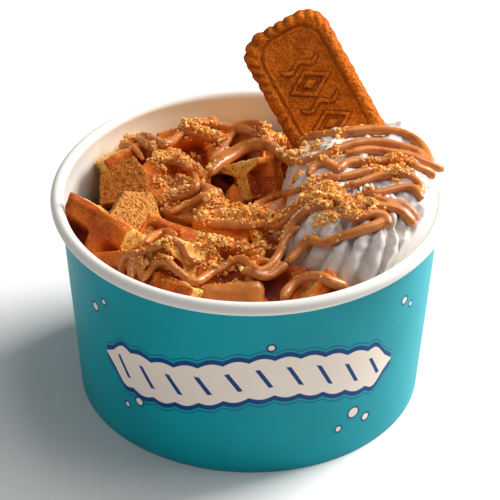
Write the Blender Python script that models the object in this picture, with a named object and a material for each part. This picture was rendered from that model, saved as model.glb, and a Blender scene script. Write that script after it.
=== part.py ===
"""A paper tub of waffle pieces with piped cream, drizzled biscuit spread and a caramel biscuit.

Run with: blender --background --python part.py
Lengths are written in millimetres and turned into metres by MM. The origin is the centre of the
foot, +Z is up, and -Y is the front.
"""

import math
import random

import bmesh
import bpy
from mathutils import Matrix, Vector
from mathutils.bvhtree import BVHTree

MM = 0.001
GAP = 0.35 * MM

# Paper tub
RIM_RADIUS = 75.0 * MM
TUB_HEIGHT = 83.0 * MM
FOOT_RADIUS = 65.0 * MM
BEAD_RADIUS = 2.5 * MM
PAPER = 0.8 * MM
NECK_RADIUS = 71.2 * MM
NECK_HEIGHT = 78.4 * MM
FLOOR_HEIGHT = 7.0 * MM
FLANGE = 0.6 * MM
FOLD_HEIGHT = 6.2 * MM
TUB_SEGMENTS = 64

# Waffle pieces, cut from a thick waffle with square pockets on both faces
RIDGE = 5.5 * MM
POCKET = 15.0 * MM
PITCH = RIDGE + POCKET
THICK = 20.0 * MM
POCKET_DEPTH = 3.2 * MM
DRAFT = 3.4 * MM
GRID = 3
CUT_SKEW = 0.12
CUT_LEAN = 0.14

# Core of the heap
WALL_CLEARANCE = 0.6 * MM
CORE_TOP = 60.0 * MM
CORE_SEGMENTS = 40
CORE_RINGS = 6
CORE_SWELL = 2.2 * MM
CORE_SWELL_RUN = (9.0 * MM, 11.0 * MM)
CORE_SLOPE = 0.027

# Piped cream
CREAM_CENTRE = Vector((41.0, -7.0, 0.0)) * MM
CREAM_REACH = (31.0 * MM, 50.0 * MM)
CREAM_SQUARENESS = 2.6
CREAM_FULLNESS = 0.5
CREAM_BASE = 58.5 * MM
CREAM_FOOT = 64.0 * MM
CREAM_TOP = 98.0 * MM
CREAM_RIDGES = 26
CREAM_RIDGE_DEPTH = 0.032
CREAM_TWIST = 0.55
CREAM_LEVELS = 9

# Drizzle
STRAND_RADIUS = 1.45 * MM
STRAND_SIDES = 5
STRAND_STEP = 5.0 * MM
STRAND_LIFT = 0.35
STRAND_TIP = 0.6
SAG_RADIUS = 9.0 * MM
CURVE_PARTS = 12

# Biscuits
BISCUIT_LENGTH = 61.5 * MM
BISCUIT_WIDTH = 35.4 * MM
BISCUIT_THICK = 6.5 * MM
SCALLOP = 4.7 * MM
SCALLOP_DEPTH = 0.8 * MM
BISCUIT_CORNER = 9.5 * MM

# Biscuit's section from its back: (in from the edge, height over the back, whether it is scalloped)
BISCUIT_SECTION = [
    (0.6 * MM, 0.0, True),
    (0.0, 0.9 * MM, True),
    (0.0, 4.1 * MM, True),
    (1.6 * MM, 6.1 * MM, True),
    (3.0 * MM, BISCUIT_THICK, False),
    (4.2 * MM, BISCUIT_THICK, False),
    (5.0 * MM, 5.6 * MM, False),
]
BISCUIT_PLACE = ((24.3, 41.0, 101.0), -1, 32, 30)

# Broken biscuit: corners in plan, in millimetres, place and facing
BROKEN_THICK = 7.5 * MM
BROKEN_WAIST = 0.4
BROKEN_TAPER = 0.94
BROKEN_BISCUITS = {
    "broken_biscuit_back": (
        [(-9.5, -6.5), (7.5, -8.5), (9.5, 2.0), (5.5, 7.5), (-8.0, 3.5)],
        (-47.0, 16.5, 75.5),
        (14, 50, 26),
    ),
    "broken_biscuit_front": (
        [(-10.0, -5.0), (5.5, -8.0), (10.0, 0.5), (3.0, 8.0), (-7.0, 5.0)],
        (-42.0, -8.5, 77.5),
        (30, 56, -34),
    ),
}

COLOURS = {
    "paper_teal": (0.0, 0.33, 0.36, 1.0),
    "paper_white": (0.83, 0.79, 0.73, 1.0),
    "waffle": (0.60, 0.22, 0.05, 1.0),
    "cream": (0.90, 0.88, 0.86, 1.0),
    "biscuit": (0.48, 0.20, 0.05, 1.0),
}


def clear_scene():
    for obj in list(bpy.data.objects):
        bpy.data.objects.remove(obj)


def material(name, roughness):
    made = bpy.data.materials.new(name)
    made.use_nodes = True
    shader = made.node_tree.nodes["Principled BSDF"]
    shader.inputs["Base Color"].default_value = COLOURS[name]
    shader.inputs["Roughness"].default_value = roughness
    shader.inputs["Metallic"].default_value = 0.0
    made.diffuse_color = COLOURS[name]
    return made


def object_of(name, bm, finish=None, smooth_below=None):
    """Makes an object of a bmesh. Faces that meet at less than smooth_below degrees shade smooth."""
    mesh = bpy.data.meshes.new(name)
    bm.to_mesh(mesh)
    bm.free()
    obj = bpy.data.objects.new(name, mesh)
    bpy.context.scene.collection.objects.link(obj)
    if finish is not None:
        mesh.materials.append(finish)
    if smooth_below is not None:
        mesh.shade_smooth()
        mesh.set_sharp_from_angle(angle=math.radians(smooth_below))
    return obj


def turned(profile, segments, closed):
    """Spins a profile of (radius, height) points round Z. An open profile starts and ends on the axis."""
    bm = bmesh.new()
    points = [bm.verts.new((radius, 0.0, height)) for radius, height in profile]
    ends = points[1:] + points[:1] if closed else points[1:]
    edges = [bm.edges.new(pair) for pair in zip(points, ends)]
    bmesh.ops.spin(
        bm,
        geom=points + edges,
        cent=(0, 0, 0),
        axis=(0, 0, 1),
        angle=2 * math.pi,
        steps=segments,
        use_merge=True,
    )
    bmesh.ops.remove_doubles(bm, verts=bm.verts, dist=0.001 * MM)
    bmesh.ops.recalc_face_normals(bm, faces=bm.faces)
    return bm


def wall_radius(height):
    """Outer radius of the tub's side at a height."""
    return FOOT_RADIUS + (NECK_RADIUS - FOOT_RADIUS) * height / NECK_HEIGHT


def inside_radius(height):
    return wall_radius(height) - PAPER


def flange_radius():
    """Outer radius of the floor, whose flange hangs between the side and its folded foot."""
    return inside_radius(PAPER) - GAP


# The tub


def tub_wall(finish):
    """The tapered side: a rolled bead at the top, and a foot folded in and up round the floor's flange."""
    bead_centre = (RIM_RADIUS - BEAD_RADIUS, TUB_HEIGHT - BEAD_RADIUS)
    bead = [
        (
            bead_centre[0] + BEAD_RADIUS * math.cos(math.radians(angle)),
            bead_centre[1] + BEAD_RADIUS * math.sin(math.radians(angle)),
        )
        for angle in range(-90, 181, 45)
    ]
    fold_outer = flange_radius() - FLANGE - GAP
    fold_inner = fold_outer - PAPER
    profile = [(fold_inner, 0.0), (FOOT_RADIUS, 0.0), (NECK_RADIUS, NECK_HEIGHT)]
    profile += bead
    profile += [
        (inside_radius(NECK_HEIGHT), NECK_HEIGHT),
        (inside_radius(FOLD_HEIGHT), FOLD_HEIGHT),
        (inside_radius(PAPER), PAPER),
        (fold_outer, PAPER),
        (fold_outer, FOLD_HEIGHT),
        (fold_inner, FOLD_HEIGHT),
    ]
    bm = turned(profile, TUB_SEGMENTS, closed=True)
    return object_of("tub_wall", bm, finish, smooth_below=40)


def tub_floor(finish):
    """The round floor, with a flange that hangs into the fold of the foot."""
    outer = flange_radius()
    flange_foot = PAPER + GAP
    profile = [
        (0.0, FLOOR_HEIGHT + PAPER),
        (outer, FLOOR_HEIGHT + PAPER),
        (outer, flange_foot),
        (outer - FLANGE, flange_foot),
        (outer - FLANGE, FLOOR_HEIGHT),
        (0.0, FLOOR_HEIGHT),
    ]
    bm = turned(profile, TUB_SEGMENTS, closed=False)
    return object_of("tub_floor", bm, finish, smooth_below=40)


# Placing and joining


def facing(azimuth, elevation, spin):
    """Rotation that turns a piece's +Z to face azimuth (0 is the front, + is to the right) and
    elevation above the level, after a turn by spin about its own Z. All in degrees."""
    a, e = math.radians(azimuth), math.radians(elevation)
    z = Vector((math.sin(a) * math.cos(e), -math.cos(a) * math.cos(e), math.sin(e)))
    x = Vector((math.cos(a), math.sin(a), 0.0))
    y = z.cross(x)
    basis = Matrix((x, y, z)).transposed().to_4x4()
    return basis @ Matrix.Rotation(math.radians(spin), 4, "Z")


def placed(bm, at, azimuth, elevation, spin):
    """Turns and moves a bmesh to its place, given in millimetres."""
    bm.transform(Matrix.Translation(Vector(at) * MM) @ facing(azimuth, elevation, spin))
    return bm


def helper_collection(name, objects):
    group = bpy.data.collections.new(name)
    for obj in objects:
        group.objects.link(obj)
        bpy.context.scene.collection.objects.unlink(obj)
    bpy.context.scene.collection.children.link(group)
    return group


def combine(target, objects, operation):
    """Applies one Boolean of the target with all the objects, and removes them."""
    group = helper_collection(target.name + "_" + operation.lower(), objects)
    modifier = target.modifiers.new(operation.title(), "BOOLEAN")
    modifier.operation = operation
    modifier.operand_type = "COLLECTION"
    modifier.collection = group
    modifier.solver = "MANIFOLD"
    graph = bpy.context.evaluated_depsgraph_get()
    joined = bpy.data.meshes.new_from_object(target.evaluated_get(graph))
    target.modifiers.clear()
    target.data = joined
    for obj in list(group.objects):
        bpy.data.objects.remove(obj)
    bpy.data.collections.remove(group)


def keep_largest(target):
    """Drops the loose scraps that a cut leaves, and triangles' doubled points."""
    bm = bmesh.new()
    bm.from_mesh(target.data)
    bmesh.ops.remove_doubles(bm, verts=bm.verts, dist=0.002 * MM)
    bmesh.ops.triangulate(bm, faces=bm.faces)
    left = set(bm.verts)
    bodies = []
    while left:
        body, front = set(), [left.pop()]
        while front:
            vert = front.pop()
            body.add(vert)
            for edge in vert.link_edges:
                other = edge.other_vert(vert)
                if other in left:
                    left.discard(other)
                    front.append(other)
        bodies.append(body)
    bodies.sort(key=len)
    scraps = [vert for body in bodies[:-1] for vert in body]
    bmesh.ops.delete(bm, geom=scraps, context="VERTS")
    bm.to_mesh(target.data)
    bm.free()


# The heap's core and the waffle pieces


def core_height(x, y):
    """Top of the packed waffle below the pieces that show: lowest at the back left, under the rim."""
    swell = CORE_SWELL * math.sin(x / CORE_SWELL_RUN[0]) * math.cos(y / CORE_SWELL_RUN[1])
    return CORE_TOP + swell + CORE_SLOPE * (x - y)


def heap_core():
    """Fills the tub up to its uneven top, a paper's width clear of the wall and the floor."""
    foot = FLOOR_HEIGHT + PAPER + GAP
    side = [(inside_radius(z) - WALL_CLEARANCE, z) for z in (foot, CORE_TOP * 0.55, CORE_TOP)]
    top = [(side[-1][0] * ring / CORE_RINGS, CORE_TOP) for ring in range(CORE_RINGS - 1, -1, -1)]
    bm = turned([(0.0, foot)] + side + top, CORE_SEGMENTS, closed=False)
    for vert in bm.verts:
        if abs(vert.co.z - CORE_TOP) < 0.01 * MM:
            vert.co.z = core_height(vert.co.x, vert.co.y)
            limit = inside_radius(vert.co.z) - WALL_CLEARANCE
            reach = vert.co.xy.length
            if reach > limit:
                vert.co.xy *= limit / reach
    return bm


def waffle_grid():
    """A square of thick waffle with GRID by GRID pockets on both faces, centred on the origin."""
    side = GRID * PITCH + RIDGE
    bm = bmesh.new()
    bmesh.ops.create_cube(bm, size=1.0)
    bmesh.ops.scale(bm, vec=(side, side, THICK), verts=bm.verts)
    for axis in range(2):
        for step in range(GRID):
            for offset in (RIDGE + step * PITCH, (step + 1) * PITCH):
                at, normal = Vector((0, 0, 0)), Vector((0, 0, 0))
                at[axis] = offset - side / 2
                normal[axis] = 1.0
                geom = bm.verts[:] + bm.edges[:] + bm.faces[:]
                bmesh.ops.bisect_plane(bm, geom=geom, plane_co=at, plane_no=normal)

    def is_pocket(face):
        centre = face.calc_center_median()
        return abs(face.normal.z) > 0.9 and all(
            (centre[axis] + side / 2) % PITCH > RIDGE and abs(centre[axis]) < side / 2 - RIDGE
            for axis in range(2)
        )

    for face in [face for face in bm.faces if is_pocket(face)]:
        down = -math.copysign(POCKET_DEPTH, face.calc_center_median().z)
        bmesh.ops.inset_individual(bm, faces=[face], thickness=DRAFT, depth=0.0)
        bmesh.ops.translate(bm, vec=(0, 0, down), verts=face.verts)
    return bm


def waffle_piece(width, length, centre, seed):
    """A chunk cut out of the grid round a place on it, with its four sides leaning as knife cuts do."""
    draw = random.Random(seed)
    bm = waffle_grid()
    bmesh.ops.translate(bm, vec=(-centre[0] * MM, -centre[1] * MM, 0), verts=bm.verts)
    for quarter in range(4):
        angle = quarter * math.pi / 2 + draw.uniform(-CUT_SKEW, CUT_SKEW)
        normal = Vector((math.cos(angle), math.sin(angle), draw.uniform(-CUT_LEAN, CUT_LEAN)))
        reach = (width, length)[quarter % 2] / 2 * MM
        geom = bm.verts[:] + bm.edges[:] + bm.faces[:]
        cut = bmesh.ops.bisect_plane(
            bm, geom=geom, plane_co=normal * reach, plane_no=normal, clear_outer=True
        )
        rim = [item for item in cut["geom_cut"] if isinstance(item, bmesh.types.BMEdge)]
        bmesh.ops.edgeloop_fill(bm, edges=rim)
    bmesh.ops.recalc_face_normals(bm, faces=bm.faces)
    return bm


# Name: (place in mm, (width, length), centre of the cut on the waffle's grid, facing)
WAFFLE_PIECES = {
    "left_corner": ((-51.0, -20.0, 69.5), (31, 30), (6.5, 1.0), (-38, 40, -6)),
    "back_left": ((-50.0, 37.0, 66.0), (22, 22), (8.0, 1.0), (-150, 8, 14)),
    "back_slab": ((-22.0, 45.0, 67.5), (25, 23), (1.0, 2.0), (8, 58, 14)),
    "back_middle": ((-2.0, 50.0, 65.0), (23, 22), (2.0, 4.0), (-30, 34, 20)),
    "left_middle": ((-31.0, 24.0, 67.5), (23, 22), (-2.0, 3.0), (20, 62, 32)),
    "middle_coated": ((-15.0, 7.0, 70.5), (28, 21), (4.0, 0.0), (-12, 66, -12)),
    "porous": ((2.0, 31.0, 69.0), (20, 22), (9.0, 2.0), (58, 22, 34)),
    "pit_back": ((16.0, 36.0, 62.0), (20, 20), (3.0, 3.0), (-20, 20, 62)),
    "pit_front": ((-2.0, 17.0, 57.0), (23, 24), (1.0, 3.0), (40, 48, 40)),
    "crumbed_block": ((-10.0, -12.0, 72.0), (25, 19), (2.0, -3.0), (-15, 60, -10)),
    "crumbed_slab": ((8.0, -15.0, 72.0), (20, 22), (0.0, 4.0), (14, 66, 12)),
    "left_slab": ((-27.0, -15.0, 65.5), (26, 24), (2.0, 2.0), (10, 70, -28)),
    "front_middle": ((-9.0, -38.0, 70.5), (25, 21), (-3.0, 1.0), (8, 56, -16)),
    "front_left_cut": ((-27.0, -40.0, 69.5), (22, 24), (9.0, 1.0), (-60, 14, 30)),
    "front_left_low": ((-26.0, -56.0, 67.5), (22, 19), (2.0, 5.0), (14, 34, 38)),
    "left_front_rim": ((-44.0, -43.0, 68.0), (24, 24), (3.0, 1.0), (-30, 44, 22)),
    "dome": ((-6.0, -57.0, 68.5), (24, 20), (0.5, 2.0), (2, 48, 4)),
    "front_brown": ((9.0, -51.0, 68.5), (23, 22), (2.0, -2.0), (18, 54, -24)),
    "front_right": ((25.0, -58.0, 68.5), (21, 18), (-2.0, 3.0), (30, 38, 34)),
}

# Route over the food, in plan, in millimetres, and the thickness against a usual strand
HEAP_STRANDS = [
    ([(-17, 17), (-8, 30), (0, 37), (8, 36), (16, 29)], 1.7),
    ([(-16, 25), (-8, 45), (0, 49), (9, 42), (15, 39)], 1.1),
    ([(-40, 44), (-32, 39), (-26, 48), (-18, 46), (-9, 42)], 1.1),
    ([(-27, 50), (-20, 54), (-7, 52), (2, 55), (8, 50)], 1.1),
    ([(-52, 41), (-45, 45), (-40, 37), (-35, 29)], 1.5),
    ([(-38, -5), (-29, 2), (-21, 9), (-22, 19)], 1.2),
    ([(-30, -8), (-20, 1), (-15, 7)], 1.1),
    ([(-46, -38), (-33, -31), (-27, -27), (-20, -38)], 1.2),
    ([(-39, -52), (-34, -41), (-28, -44), (-19, -52), (-3, -39), (3, -45), (9, -38), (14, -28)], 1.2),
    ([(12, -62), (17, -52), (25, -50), (34, -54)], 1.3),
    ([(-16, -15), (-5, -16), (6, -15), (13, -11)], 1.1),
]
CREAM_STRANDS = [
    ([(18, 28), (26, 30), (41, 28), (56, 30), (65, 27), (69, 21)], 1.4),
    ([(69, 17), (60, 14), (45, 11), (34, 7), (24, 2), (17, 8)], 1.4),
    ([(72, 12), (59, 6), (43, 4), (33, 2)], 1.2),
    ([(21, -9), (27, -4), (32, -9), (39, -4), (59, 0), (64, -5), (68, -2)], 1.2),
    ([(20, -15), (28, -13), (35, -18), (47, -13), (59, -10), (64, -17)], 1.3),
    ([(19, -23), (29, -27), (46, -25), (57, -21), (62, -25)], 1.2),
    ([(30, -34), (44, -30), (56, -32), (60, -36)], 1.2),
    ([(17, -42), (24, -40), (38, -43), (50, -39), (42, -35), (32, -36)], 1.5),
]


def waffle_pieces():
    made = []
    for seed, (name, (at, size, centre, turn)) in enumerate(WAFFLE_PIECES.items()):
        bm = placed(waffle_piece(*size, centre, seed), at, *turn)
        made.append(object_of("piece_" + name, bm))
    return made


# Cream


def cream_mound(grow=0.0):
    """A long piped mound with star-nozzle ridges that twist as they climb, sunk a little in the heap."""
    bm = bmesh.new()
    sides = CREAM_RIDGES * 2
    levels = []
    for level in range(CREAM_LEVELS + 1):
        climb = level / CREAM_LEVELS
        swell = math.cos(climb * math.pi / 2) ** CREAM_FULLNESS
        height = CREAM_FOOT + (CREAM_TOP - CREAM_FOOT) * math.sin(climb * math.pi / 2)
        ring = []
        for side in range(sides):
            angle = 2 * math.pi * side / sides + CREAM_TWIST * climb
            ridge = 1 + CREAM_RIDGE_DEPTH * (-1) ** side
            across, along = math.cos(angle), math.sin(angle)
            power = CREAM_SQUARENESS
            fullness = (abs(across) ** power + abs(along) ** power) ** (-1 / power)
            x = CREAM_CENTRE.x + (CREAM_REACH[0] * swell * ridge * fullness + grow) * across
            y = CREAM_CENTRE.y + (CREAM_REACH[1] * swell * ridge * fullness + grow) * along
            limit = inside_radius(min(height, NECK_HEIGHT)) - WALL_CLEARANCE + grow
            out = math.hypot(x, y)
            if out > limit:
                x, y = x * limit / out, y * limit / out
            z = height + grow if level else CREAM_BASE - grow
            ring.append(bm.verts.new((x, y, z)))
            if level == CREAM_LEVELS:
                break
        levels.append(ring)
    for low, high in zip(levels, levels[1:]):
        for side in range(sides):
            after = (side + 1) % sides
            if len(high) == 1:
                bm.faces.new((low[side], low[after], high[0]))
            else:
                bm.faces.new((low[side], low[after], high[after], high[side]))
    bm.faces.new(reversed(levels[0]))
    bmesh.ops.triangulate(bm, faces=bm.faces)
    bmesh.ops.recalc_face_normals(bm, faces=bm.faces)
    return bm


# Biscuits


def biscuit_outline(inset, scalloped):
    """Points round a biscuit's edge: a rounded rectangle whose edge swells between its notches."""
    half_x, half_y = BISCUIT_WIDTH / 2 - inset, BISCUIT_LENGTH / 2 - inset
    corner = BISCUIT_CORNER - inset
    arc = corner * math.pi / 2
    straight = (2 * (half_y - corner), 2 * (half_x - corner))
    total = 2 * sum(straight) + 4 * arc
    full = 2 * (BISCUIT_LENGTH + BISCUIT_WIDTH) - (8 - 2 * math.pi) * BISCUIT_CORNER
    steps = 2 * round(full / SCALLOP)
    points = []
    for step in range(steps):
        run = total * step / steps
        point, normal = None, None
        for quarter in range(4):
            length = straight[quarter % 2]
            turn = Matrix.Rotation(quarter * math.pi / 2, 2)
            near, far = (half_x, half_y) if quarter % 2 == 0 else (half_y, half_x)
            if run < length:
                point = turn @ Vector((near, -far + corner + run))
                normal = turn @ Vector((1.0, 0.0))
                break
            run -= length
            if run < arc:
                angle = run / corner
                normal = turn @ Vector((math.cos(angle), math.sin(angle)))
                point = turn @ Vector((near - corner, far - corner)) + normal * corner
                break
            run -= arc
        notch = SCALLOP_DEPTH if scalloped and step % 2 == 0 else 0.0
        points.append(point - normal * notch)
    return points


def stacked(rings):
    """Closes a stack of rings of points, (list of 2-D points, height), with flat ends."""
    bm = bmesh.new()
    made = [[bm.verts.new((p.x, p.y, z)) for p in points] for points, z in rings]
    count = len(made[0])
    for low, high in zip(made, made[1:]):
        for side in range(count):
            after = (side + 1) % count
            bm.faces.new((low[side], low[after], high[after], high[side]))
    bm.faces.new(reversed(made[0]))
    bm.faces.new(made[-1])
    bmesh.ops.recalc_face_normals(bm, faces=bm.faces)
    return bm


def biscuit(grow=0.0):
    """A scalloped caramel biscuit lying on its back, centred, with a raised border round a sunk panel."""
    half = BISCUIT_THICK / 2
    if grow:
        edge = biscuit_outline(-grow, scalloped=False)
        return stacked([(edge, -half - grow), (edge, half + grow)])
    return stacked(
        [(biscuit_outline(inset, wavy), height - half) for inset, height, wavy in BISCUIT_SECTION]
    )


def broken_biscuit(name, grow=0.0):
    """A broken chunk: an uneven outline, a little smaller at its lower face."""
    corners, at, turn = BROKEN_BISCUITS[name]
    half = BROKEN_THICK / 2 + grow
    outline = []
    for x, y in corners:
        point = Vector((x, y)) * MM
        outline.append(point + point.normalized() * grow)
    low = outline if grow else [point * BROKEN_TAPER for point in outline]
    bm = stacked([(low, -half), (outline, -half * BROKEN_WAIST), (outline, half)])
    return placed(bm, at, *turn)


# Drizzle


def smooth_route(route, step):
    """Points a step apart along a smooth curve through a route given in millimetres."""
    knots = [Vector(point) * MM for point in route]
    knots = [2 * knots[0] - knots[1]] + knots + [2 * knots[-1] - knots[-2]]
    dense = []
    for a, b, c, d in zip(knots, knots[1:], knots[2:], knots[3:]):
        for part in range(CURVE_PARTS):
            t = part / CURVE_PARTS
            dense.append(
                0.5
                * (
                    2 * b
                    + (c - a) * t
                    + (2 * a - 5 * b + 4 * c - d) * t * t
                    + (3 * b - a - 3 * c + d) * t ** 3
                )
            )
    dense.append(knots[-2])
    points, run = [dense[0]], 0.0
    for before, after in zip(dense, dense[1:]):
        run += (after - before).length
        if run >= step:
            points.append(after)
            run = 0.0
    return points


def top_of(surfaces, x, y):
    """Height of the highest of the surfaces at a place, or the core's own height where none is."""
    start = Vector((x, y, 2 * TUB_HEIGHT))
    hits = [tree.ray_cast(start, Vector((0, 0, -1)))[0] for tree in surfaces]
    return max([hit.z for hit in hits if hit is not None], default=core_height(x, y))


def drape(points, radius, surfaces):
    """Lays plan points on the highest of the surfaces, spanning hollows as a soft strand does."""
    heights = [top_of(surfaces, point.x, point.y) for point in points]
    laid = []
    for point in points:
        height = max(
            other_height - (point - other).length_squared / (2 * SAG_RADIUS)
            for other, other_height in zip(points, heights)
        )
        laid.append(Vector((point.x, point.y, height + STRAND_LIFT * radius)))
    return laid


def tube(points, radius):
    """A closed tube along points, with rounded ends."""
    bm = bmesh.new()
    rings = []
    count = len(points)
    for index, point in enumerate(points):
        ahead = points[min(index + 1, count - 1)] - points[max(index - 1, 0)]
        ahead.normalize()
        side = ahead.cross(Vector((0, 0, 1))).normalized()
        up = side.cross(ahead)
        size = radius * (STRAND_TIP if index in (0, count - 1) else 1.0)
        ring = []
        for corner in range(STRAND_SIDES):
            angle = 2 * math.pi * corner / STRAND_SIDES
            ring.append(bm.verts.new(point + size * (side * math.cos(angle) + up * math.sin(angle))))
        rings.append(ring)
    for low, high in zip(rings, rings[1:]):
        for corner in range(STRAND_SIDES):
            after = (corner + 1) % STRAND_SIDES
            bm.faces.new((low[corner], low[after], high[after], high[corner]))
    for ring, before in ((rings[0], rings[1]), (rings[-1], rings[-2])):
        centre = sum((vert.co for vert in ring), Vector()) / len(ring)
        inner = sum((vert.co for vert in before), Vector()) / len(before)
        tip = bm.verts.new(centre + (centre - inner).normalized() * radius * STRAND_TIP)
        for corner in range(STRAND_SIDES):
            bm.faces.new((ring[corner], ring[(corner + 1) % STRAND_SIDES], tip))
    bmesh.ops.recalc_face_normals(bm, faces=bm.faces)
    return bm


def strands(name, routes, surfaces, grow=0.0):
    made = []
    for number, (route, thickness) in enumerate(routes):
        radius = STRAND_RADIUS * thickness
        points = drape(smooth_route(route, STRAND_STEP), radius, surfaces)
        bm = tube(points, radius + grow)
        made.append(object_of(f"{name}_{number}", bm))
    return made


# Crumbs


CRUMB_SIZE = (2.2 * MM, 3.6 * MM)
CRUMB_UNEVENNESS = (0.75, 1.15)
CRUMB_FLATNESS = 0.6
HEAP_CRUMBS = [
    (-36, 27), (-28, 28), (-24, 36), (-12, 46), (-38, 12), (-29, 6), (-24, 0), (-10, 12),
    (-16, -8), (-8, -8), (2, -8), (10, -13), (14, -20), (-18, -30), (-8, -31), (-31, -38),
    (3, -28), (9, -30), (0, -45), (-22, -60),
]
CREAM_CRUMBS = [(24, 12), (32, 20), (44, 3), (52, 3), (27, -10), (34, -13), (42, -17), (30, -27)]


def crumb_clusters(surfaces, places, seed):
    """Small lumps of biscuit crumb that show from a step away, pressed a little into the food."""
    draw = random.Random(seed)
    made = []
    for number, (x, y) in enumerate(places):
        size = draw.uniform(*CRUMB_SIZE)
        height = top_of(surfaces, x * MM, y * MM)
        bm = bmesh.new()
        bmesh.ops.create_icosphere(bm, subdivisions=1, radius=size)
        for vert in bm.verts:
            vert.co *= draw.uniform(*CRUMB_UNEVENNESS)
            vert.co.z *= CRUMB_FLATNESS
        bmesh.ops.translate(bm, vec=(x * MM, y * MM, height), verts=bm.verts)
        made.append(object_of(f"crumb_{seed}_{number}", bm))
    return made


def tree_of(obj):
    bm = bmesh.new()
    bm.from_mesh(obj.data)
    tree = BVHTree.FromBMesh(bm)
    bm.free()
    return tree


def tub_space():
    """The room inside the tub and over its rim that the food must stay in."""
    low, high = FLOOR_HEIGHT + PAPER, 2 * TUB_HEIGHT
    mouth = RIM_RADIUS - 2 * BEAD_RADIUS - WALL_CLEARANCE
    over_rim = TUB_HEIGHT + GAP
    profile = [
        (0.0, low),
        (inside_radius(low) - WALL_CLEARANCE, low),
        (inside_radius(NECK_HEIGHT) - WALL_CLEARANCE, NECK_HEIGHT),
        (mouth, NECK_HEIGHT + BEAD_RADIUS),
        (mouth, over_rim),
        (RIM_RADIUS, over_rim),
        (RIM_RADIUS, high),
        (0.0, high),
    ]
    return object_of("space", turned(profile, CORE_SEGMENTS, closed=False))


def main():
    clear_scene()
    teal = material("paper_teal", 0.45)
    white = material("paper_white", 0.6)
    waffle = material("waffle", 0.7)
    cream_white = material("cream", 0.5)
    caramel = material("biscuit", 0.85)

    tub_wall(teal)
    tub_floor(white)

    object_of("biscuit", placed(biscuit(), *BISCUIT_PLACE), caramel, smooth_below=35)
    broken = [object_of(name, broken_biscuit(name), caramel) for name in BROKEN_BISCUITS]

    heap = object_of("waffle_heap", heap_core(), waffle)
    cream = object_of("cream", cream_mound(), cream_white)
    pieces = waffle_pieces()
    surfaces = [tree_of(obj) for obj in [heap, cream] + pieces + broken]
    cream_strands = strands("cream_strand", CREAM_STRANDS, surfaces)
    cream_strands_grown = strands("cream_strand_grown", CREAM_STRANDS, surfaces, grow=GAP)
    heap_strands = strands("heap_strand", HEAP_STRANDS, surfaces)
    heap_crumbs = crumb_clusters(surfaces, HEAP_CRUMBS, seed=3)
    cream_crumbs = crumb_clusters(surfaces, CREAM_CRUMBS, seed=5)

    combine(cream, cream_strands + cream_crumbs, "UNION")
    grown_biscuit = object_of("grown", placed(biscuit(GAP), *BISCUIT_PLACE))
    combine(cream, [grown_biscuit], "DIFFERENCE")
    combine(cream, [tub_space()], "INTERSECT")
    keep_largest(cream)

    combine(heap, pieces + heap_strands + heap_crumbs, "UNION")
    combine(heap, [tub_space()], "INTERSECT")
    cutters = [object_of("grown", placed(biscuit(GAP), *BISCUIT_PLACE))]
    cutters += [object_of("grown", broken_biscuit(name, GAP)) for name in BROKEN_BISCUITS]
    cutters += [object_of("grown", cream_mound(GAP))]
    combine(heap, cutters + cream_strands_grown, "DIFFERENCE")
    keep_largest(heap)


main()
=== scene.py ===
"""The looks of a paper tub of waffle pieces, piped cream, biscuit spread, crumbs and caramel biscuits.

Lengths are written in millimetres and turned into metres by MM. The origin is the centre of the
tub's foot, +Z is up, and -Y is the front.
"""

import math
import random

import bpy
import numpy as np
from bpy.props import FloatProperty, FloatVectorProperty, IntProperty, PointerProperty
from mathutils import Matrix, Vector
from mathutils.bvhtree import BVHTree


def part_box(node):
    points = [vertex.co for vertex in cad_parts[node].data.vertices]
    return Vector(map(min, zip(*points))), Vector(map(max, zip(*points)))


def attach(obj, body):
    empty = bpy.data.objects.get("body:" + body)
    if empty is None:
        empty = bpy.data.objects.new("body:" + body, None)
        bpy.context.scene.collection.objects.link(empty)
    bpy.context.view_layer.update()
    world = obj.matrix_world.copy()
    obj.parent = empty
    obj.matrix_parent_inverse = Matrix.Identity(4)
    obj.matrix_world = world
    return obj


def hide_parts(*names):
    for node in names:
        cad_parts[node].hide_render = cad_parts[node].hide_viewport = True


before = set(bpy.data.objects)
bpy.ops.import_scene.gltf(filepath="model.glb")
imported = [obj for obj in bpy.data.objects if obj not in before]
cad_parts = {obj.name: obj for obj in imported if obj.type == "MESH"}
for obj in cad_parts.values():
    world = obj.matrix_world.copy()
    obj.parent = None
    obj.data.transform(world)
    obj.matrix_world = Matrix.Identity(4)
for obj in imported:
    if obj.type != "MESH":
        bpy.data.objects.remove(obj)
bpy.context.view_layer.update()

bl_info = {
    "name": "Waffle dessert tub",
    "version": (1, 0, 0),
    "blender": (4, 5, 0),
    "location": "3D View > Sidebar > Dessert",
    "description": "Models a paper tub of waffle pieces, cream, spread, crumbs and biscuits",
    "category": "Object",
}

MM = 0.001
BODY = "root"
NEAR_ZERO = 1e-9
WEIGHT_STEPS = 20

# Tub: its rim and height from the frame, and the rest as in the part
TUB_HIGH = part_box("tub_wall")[1]
RIM_RADIUS = TUB_HIGH[0]
TUB_HEIGHT = TUB_HIGH[2]
FOOT_RADIUS = 65.0 * MM
FOOT_ROUND = 0.35 * MM
PAPER = 0.8 * MM
NECK_RADIUS = 71.2 * MM
NECK_HEIGHT = 78.4 * MM
FLOOR_HEIGHT = 7.8 * MM
FOLD_HEIGHT = 6.2 * MM
FOLD_OUTER = 62.9 * MM
TUB_SIDES = 180
WALL_STEPS = 19
BEAD_TURN = 15
BEAD_ARC = (-90, 180)

# Paper seam, in degrees round the tub, and how far it stands out
SEAM_ANGLE = 104.0
SEAM_WIDTH = 7.0
SEAM_START = 0.6
SEAM_END = 2.0
SEAM_STEP = 0.25 * MM

# Room between the food and the wall
WALL_CLEARANCE = 0.6 * MM
CREAM_CLEARANCE = 0.15 * MM

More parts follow.
